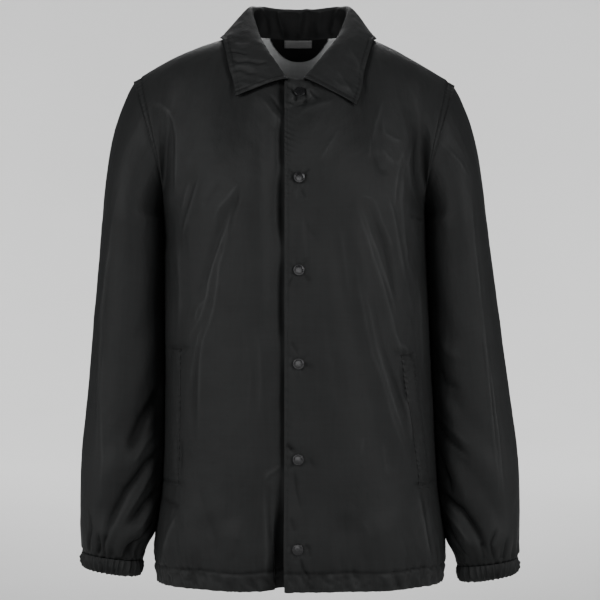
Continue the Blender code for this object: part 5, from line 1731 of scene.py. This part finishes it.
def cap_object():
    """The cap's turned shape, as a source for the tree."""
    rings = np.array([(r * SNAP_RADIUS, h * SNAP_HEIGHT) for r, h in CAP_PROFILE[1:-1]])
    turns = np.arange(SNAP_STEPS) * 2 * math.pi / SNAP_STEPS
    x, y = rings[:, :1] * np.cos(turns), rings[:, :1] * np.sin(turns)
    z = np.broadcast_to(rings[:, 1:], x.shape)
    points = np.stack([x, y, z], axis=-1).reshape(-1, 3)
    ends = [(0.0, 0.0, h * SNAP_HEIGHT) for _, h in (CAP_PROFILE[0], CAP_PROFILE[-1])]
    index = np.arange(len(points)).reshape(x.shape)
    wrapped = np.concatenate([index, index[:, :1]], axis=1)
    quads = np.stack([wrapped[:-1, :-1], wrapped[1:, :-1], wrapped[1:, 1:], wrapped[:-1, 1:]], axis=-1)
    faces = quads.reshape(-1, 4).tolist()
    first, last = len(points), len(points) + 1
    faces += [(first, a, b) for a, b in zip(wrapped[0], wrapped[0][1:])]
    faces += [(last, b, a) for a, b in zip(wrapped[-1], wrapped[-1][1:])]
    mesh = bpy.data.meshes.new("cap_shape")
    mesh.from_pydata(points.tolist() + ends, [], faces)
    reach = np.array([math.hypot(point.co.x, point.co.y) for point in mesh.vertices]) / SNAP_RADIUS
    # rim marks the outer ring that takes the painted shadow.
    rim = smooth((reach - SHADOW_RING_START) / SHADOW_RING_RANGE).astype(np.float32)
    mesh.attributes.new(SHADOW_RING_NAME, "FLOAT", "POINT").data.foreach_set("value", rim)
    return bpy.data.objects.new("cap_shape", mesh)


def set_snaps():
    tree = Tree("snaps_on_places", Shape="Object", Material="Material")
    source = tree.node("GeometryNodeObjectInfo", {}, {"Object": tree.given["Shape"]}).node
    turn = tree.node("GeometryNodeInputNamedAttribute", {"data_type": "FLOAT_VECTOR"}, {"Name": "turn"})
    spots = {"Points": tree.given["Geometry"], "Instance": source.outputs["Geometry"], "Rotation": turn}
    tree.end(tree.node("GeometryNodeInstanceOnPoints", {}, spots))
    places, normals = zip(*SNAP_PLACES)
    turns = [tuple(Vector(normal).to_track_quat("Z", "Y").to_euler()) for normal in normals]
    cap = cap_object()
    carrier = carrier_of("snap_places", places, turns=turns)
    tree.apply(carrier, "snap_caps", Shape=cap, Material=FINISHES["snap"])
    bpy.data.objects.remove(cap)


set_snaps()

# %% [markdown]
# ## Stitching
#
# Every seam that shows is a row of short, plump stitches of black thread, each sunk at both ends. The rows
# are lines of points on the cloth; a tree resamples each line to the stitch length and lays a small
# rounded bar along it. Bartacks, the close bars that hold a pocket's ends, are the same tree with a
# shorter pitch.

# %% Rows of stitches on the panels
STITCH_LIFT = 0.00004
SHOULDER_STITCH, FACING_STITCH, LABEL_STITCH = 0.0025, 0.0020, 0.0015


class Rows:
    """Lines of points on the cloth, gathered into one mesh of edges."""

    def __init__(self):
        self.points, self.edges = [], []

    def add(self, line):
        start = len(self.points)
        self.points += leaned(line).tolist()
        self.edges += [(i, i + 1) for i in range(start, start + len(line) - 1)]


def hem_rows(rows):
    for panel in PANELS.values():
        ends = sorted((panel.shares[0], panel.shares[-1]))
        share = np.linspace(ends[0] + 0.004, ends[1] - 0.004, 400)
        rows.add(panel.at(share, HEM_DEPTH / LOWER_LENGTH, STITCH_LIFT))


def placket_row(rows):
    level = np.linspace(0.004, 1.96, 500)
    rows.add(PANELS["left"].at(-LAP + PLACKET_STITCH / HALF_PANEL, level, STITCH_LIFT))


def armhole_rows(rows):
    for word, sides in (("left", (1,)), ("right", (-1,)), ("back", (1, -1))):
        for side in sides:
            for inset in ARMHOLE_STITCHES:
                level = np.linspace(1.0, 1.99, 260)
                rows.add(PANELS[word].at(side * (1.0 - inset / HALF_PANEL), level, STITCH_LIFT))


def shoulder_rows(rows):
    for side in (1, -1):
        share = side * np.linspace(NECK_SHARE + 0.12, 0.985, 160)
        rows.add(PANELS["back"].at(share, 2.0 - SHOULDER_STITCH / UPPER_LENGTH, STITCH_LIFT))


SEAM_ROWS = Rows()
for lay in (hem_rows, placket_row, armhole_rows, shoulder_rows):
    lay(SEAM_ROWS)
print("points on the panels' rows", len(SEAM_ROWS.points))

# %% Rows on collar, welts, facing and label


def inset_line(sheet, inset, edge):
    """A line at a distance inside one edge of a grid: last_row, first_column or last_column."""
    turned = {
        "last_row": sheet[::-1],
        "first_column": sheet.swapaxes(0, 1),
        "last_column": sheet[:, ::-1].swapaxes(0, 1),
    }
    grid = turned[edge]
    down = lengths_from(grid, 0)
    line = []
    for column in range(grid.shape[1]):
        line.append([np.interp(inset, down[:, column], grid[:, column, axis]) for axis in range(3)])
    return np.array(line)


def collar_rows(rows):
    leaf = COLLAR[STAND_ROWS + 2:]
    lift = grid_normals(COLLAR)[STAND_ROWS + 2:] * STITCH_LIFT
    bottom = inset_line(leaf + lift, EDGE_STITCH, "last_row")
    inside = lengths_from(leaf, 1)[-1]
    keep = (inside > EDGE_STITCH) & (inside < inside[-1] - EDGE_STITCH)
    rows.add(bottom[keep])
    for edge in ("first_column", "last_column"):
        side = inset_line(leaf + lift, EDGE_STITCH, edge)
        run = lengths_from(side[:, None], 0)[:, 0]
        rows.add(side[run < run[-1] - EDGE_STITCH])


def welt_rows(rows):
    for sheet in WELT_SHEETS:
        for edge in ("first_column", "last_column"):
            rows.add(inset_line(sheet, WELT_STITCH, edge))


def patch_rows(rows):
    rows.add(inset_line(FACING_SHEET, FACING_STITCH, "last_row")[4:-4])
    for edge in ("first_column", "last_column"):
        rows.add(inset_line(LABEL_SHEET, LABEL_STITCH, edge))


def bartack_rows(rows):
    for sheet in WELT_SHEETS:
        for row in (2, 4, -5, -3):
            rows.add(sheet[row, 1:-1])


BARTACK_ROWS = Rows()
for lay in (collar_rows, welt_rows, patch_rows):
    lay(SEAM_ROWS)
bartack_rows(BARTACK_ROWS)

# %% Lay the stitches
STITCH_PITCH, STITCH_LENGTH, THREAD = 0.0030, 0.0025, 0.00042
BARTACK_PITCH, BARTACK_LENGTH = 0.0012, 0.0022


def thread_finish():
    finish = Finish("black_thread", Specular_IOR_Level=0.15)
    place = finish.node("ShaderNodeTexCoord").outputs["Object"]
    ply = finish.noise(place, 1500.0, 2.0)
    finish.shade(
        Base_Color=finish.blend(ply, (0.003, 0.003, 0.003, 1.0), (0.007, 0.007, 0.007, 1.0)),
        Roughness=ply * 0.2 + 0.5,
        Normal=finish.bump(ply, 0.0001, 0.5),
    )
    return finish.material


def stitch_tree():
    sizes = {"Pitch": "Float", "Length": "Float", "Thread": "Float"}
    tree = Tree("stitch_rows", **sizes, Seed="Int", Material="Material")
    given = tree.given
    line = tree.node("GeometryNodeMeshToCurve", {}, {"Mesh": given["Geometry"]})
    pitch = {"Curve": line, "Length": given["Pitch"]}
    spots = tree.node("GeometryNodeResampleCurve", {"mode": "LENGTH"}, pitch)
    lengths = {"X": given["Length"], "Y": given["Thread"], "Z": given["Thread"]}
    size = tree.node("ShaderNodeCombineXYZ", {}, lengths)
    ball = tree.node("GeometryNodeMeshUVSphere", {}, {"Segments": 6, "Rings": 4, "Radius": 0.5})
    bar = tree.node("GeometryNodeTransform", {}, {"Geometry": ball, "Scale": size})
    heading = tree.node("GeometryNodeInputTangent")
    turn = tree.node("FunctionNodeAlignRotationToVector", {"axis": "X"}, {"Vector": heading})
    jitter = {0: (0.84, 0.85, 0.85), 1: (1.06, 1.15, 1.15), "Seed": given["Seed"]}
    scale = tree.node("FunctionNodeRandomValue", {"data_type": "FLOAT_VECTOR"}, jitter)
    sockets = {"Points": spots, "Instance": bar, "Rotation": turn, "Scale": scale}
    tree.end(tree.node("GeometryNodeInstanceOnPoints", {}, sockets))
    return tree


FINISHES["thread"] = thread_finish()
STITCHES = stitch_tree()
for name, rows, pitch, length, seed in (
    ("seam_stitches", SEAM_ROWS, STITCH_PITCH, STITCH_LENGTH, 5),
    ("pocket_bartacks", BARTACK_ROWS, BARTACK_PITCH, BARTACK_LENGTH, 9),
):
    carrier = carrier_of(name + "_lines", rows.points, rows.edges)
    thread = dict(Thread=THREAD, Seed=seed, Material=FINISHES["thread"])
    STITCHES.apply(carrier, name, Pitch=pitch, Length=length, **thread)

# %% [markdown]
# ## Hand the pieces to the frame
#
# Every piece rides on the jacket's one body, and the solid it stands for is hidden. A table also lists
# the cut each cloth was sewn from: its flat width and length, and its area where the cut isn't a rectangle.

# %% Bodies, solids and cuts
Cut = namedtuple("Cut", "node slot held width length area rests_on")
CUTS = {
    "front_left_cloth": Cut("front_left", "shell", "hung", 0.31, 0.79, 0.20, ["sleeve_left", "back"]),
    "front_right_cloth": Cut("front_right", "shell", "hung", 0.31, 0.79, 0.20, ["sleeve_right", "back"]),
    "back_cloth": Cut("back", "shell", "hung", 0.57, 0.79, 0.39, ["sleeve_left", "sleeve_right"]),
    "sleeve_left_cloth": Cut("sleeve_left", "shell", "hung", 0.42, 0.67, 0.25, ["front_left"]),
    "sleeve_right_cloth": Cut("sleeve_right", "shell", "hung", 0.42, 0.67, 0.25, ["front_right"]),
    "cuff_left_cloth": Cut("cuff_left", "shell", "gathered", 0.28, 0.026, None, ["sleeve_left"]),
    "cuff_right_cloth": Cut("cuff_right", "shell", "gathered", 0.28, 0.026, None, ["sleeve_right"]),
    "collar_cloth": Cut("collar", "shell", "folded", 0.47, 0.115, 0.05, ["back"]),
    "pocket_welt_left_cloth": Cut("pocket_welt_left", "shell", "laid", 0.026, 0.182, None, ["front_left"]),
    "pocket_welt_right_cloth": Cut(
        "pocket_welt_right", "shell", "laid", 0.026, 0.182, None, ["front_right"]
    ),
    "neck_facing_cloth": Cut("neck_facing", "facing", "laid", 0.083, 0.036, 0.0022, ["back"]),
    "neck_label_cloth": Cut("neck_label", "label", "laid", 0.038, 0.012, None, ["neck_facing"]),
}
for name, cut in CUTS.items():
    piece = PIECES[name]
    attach(piece, "root")
    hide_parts(cut.node)
for name, slot in (("snap_caps", "snap"), ("seam_stitches", "shell"), ("pocket_bartacks", "shell")):
    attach(PIECES[name], "root")
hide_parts(*SNAP_NAMES)
print("pieces", len(PIECES))
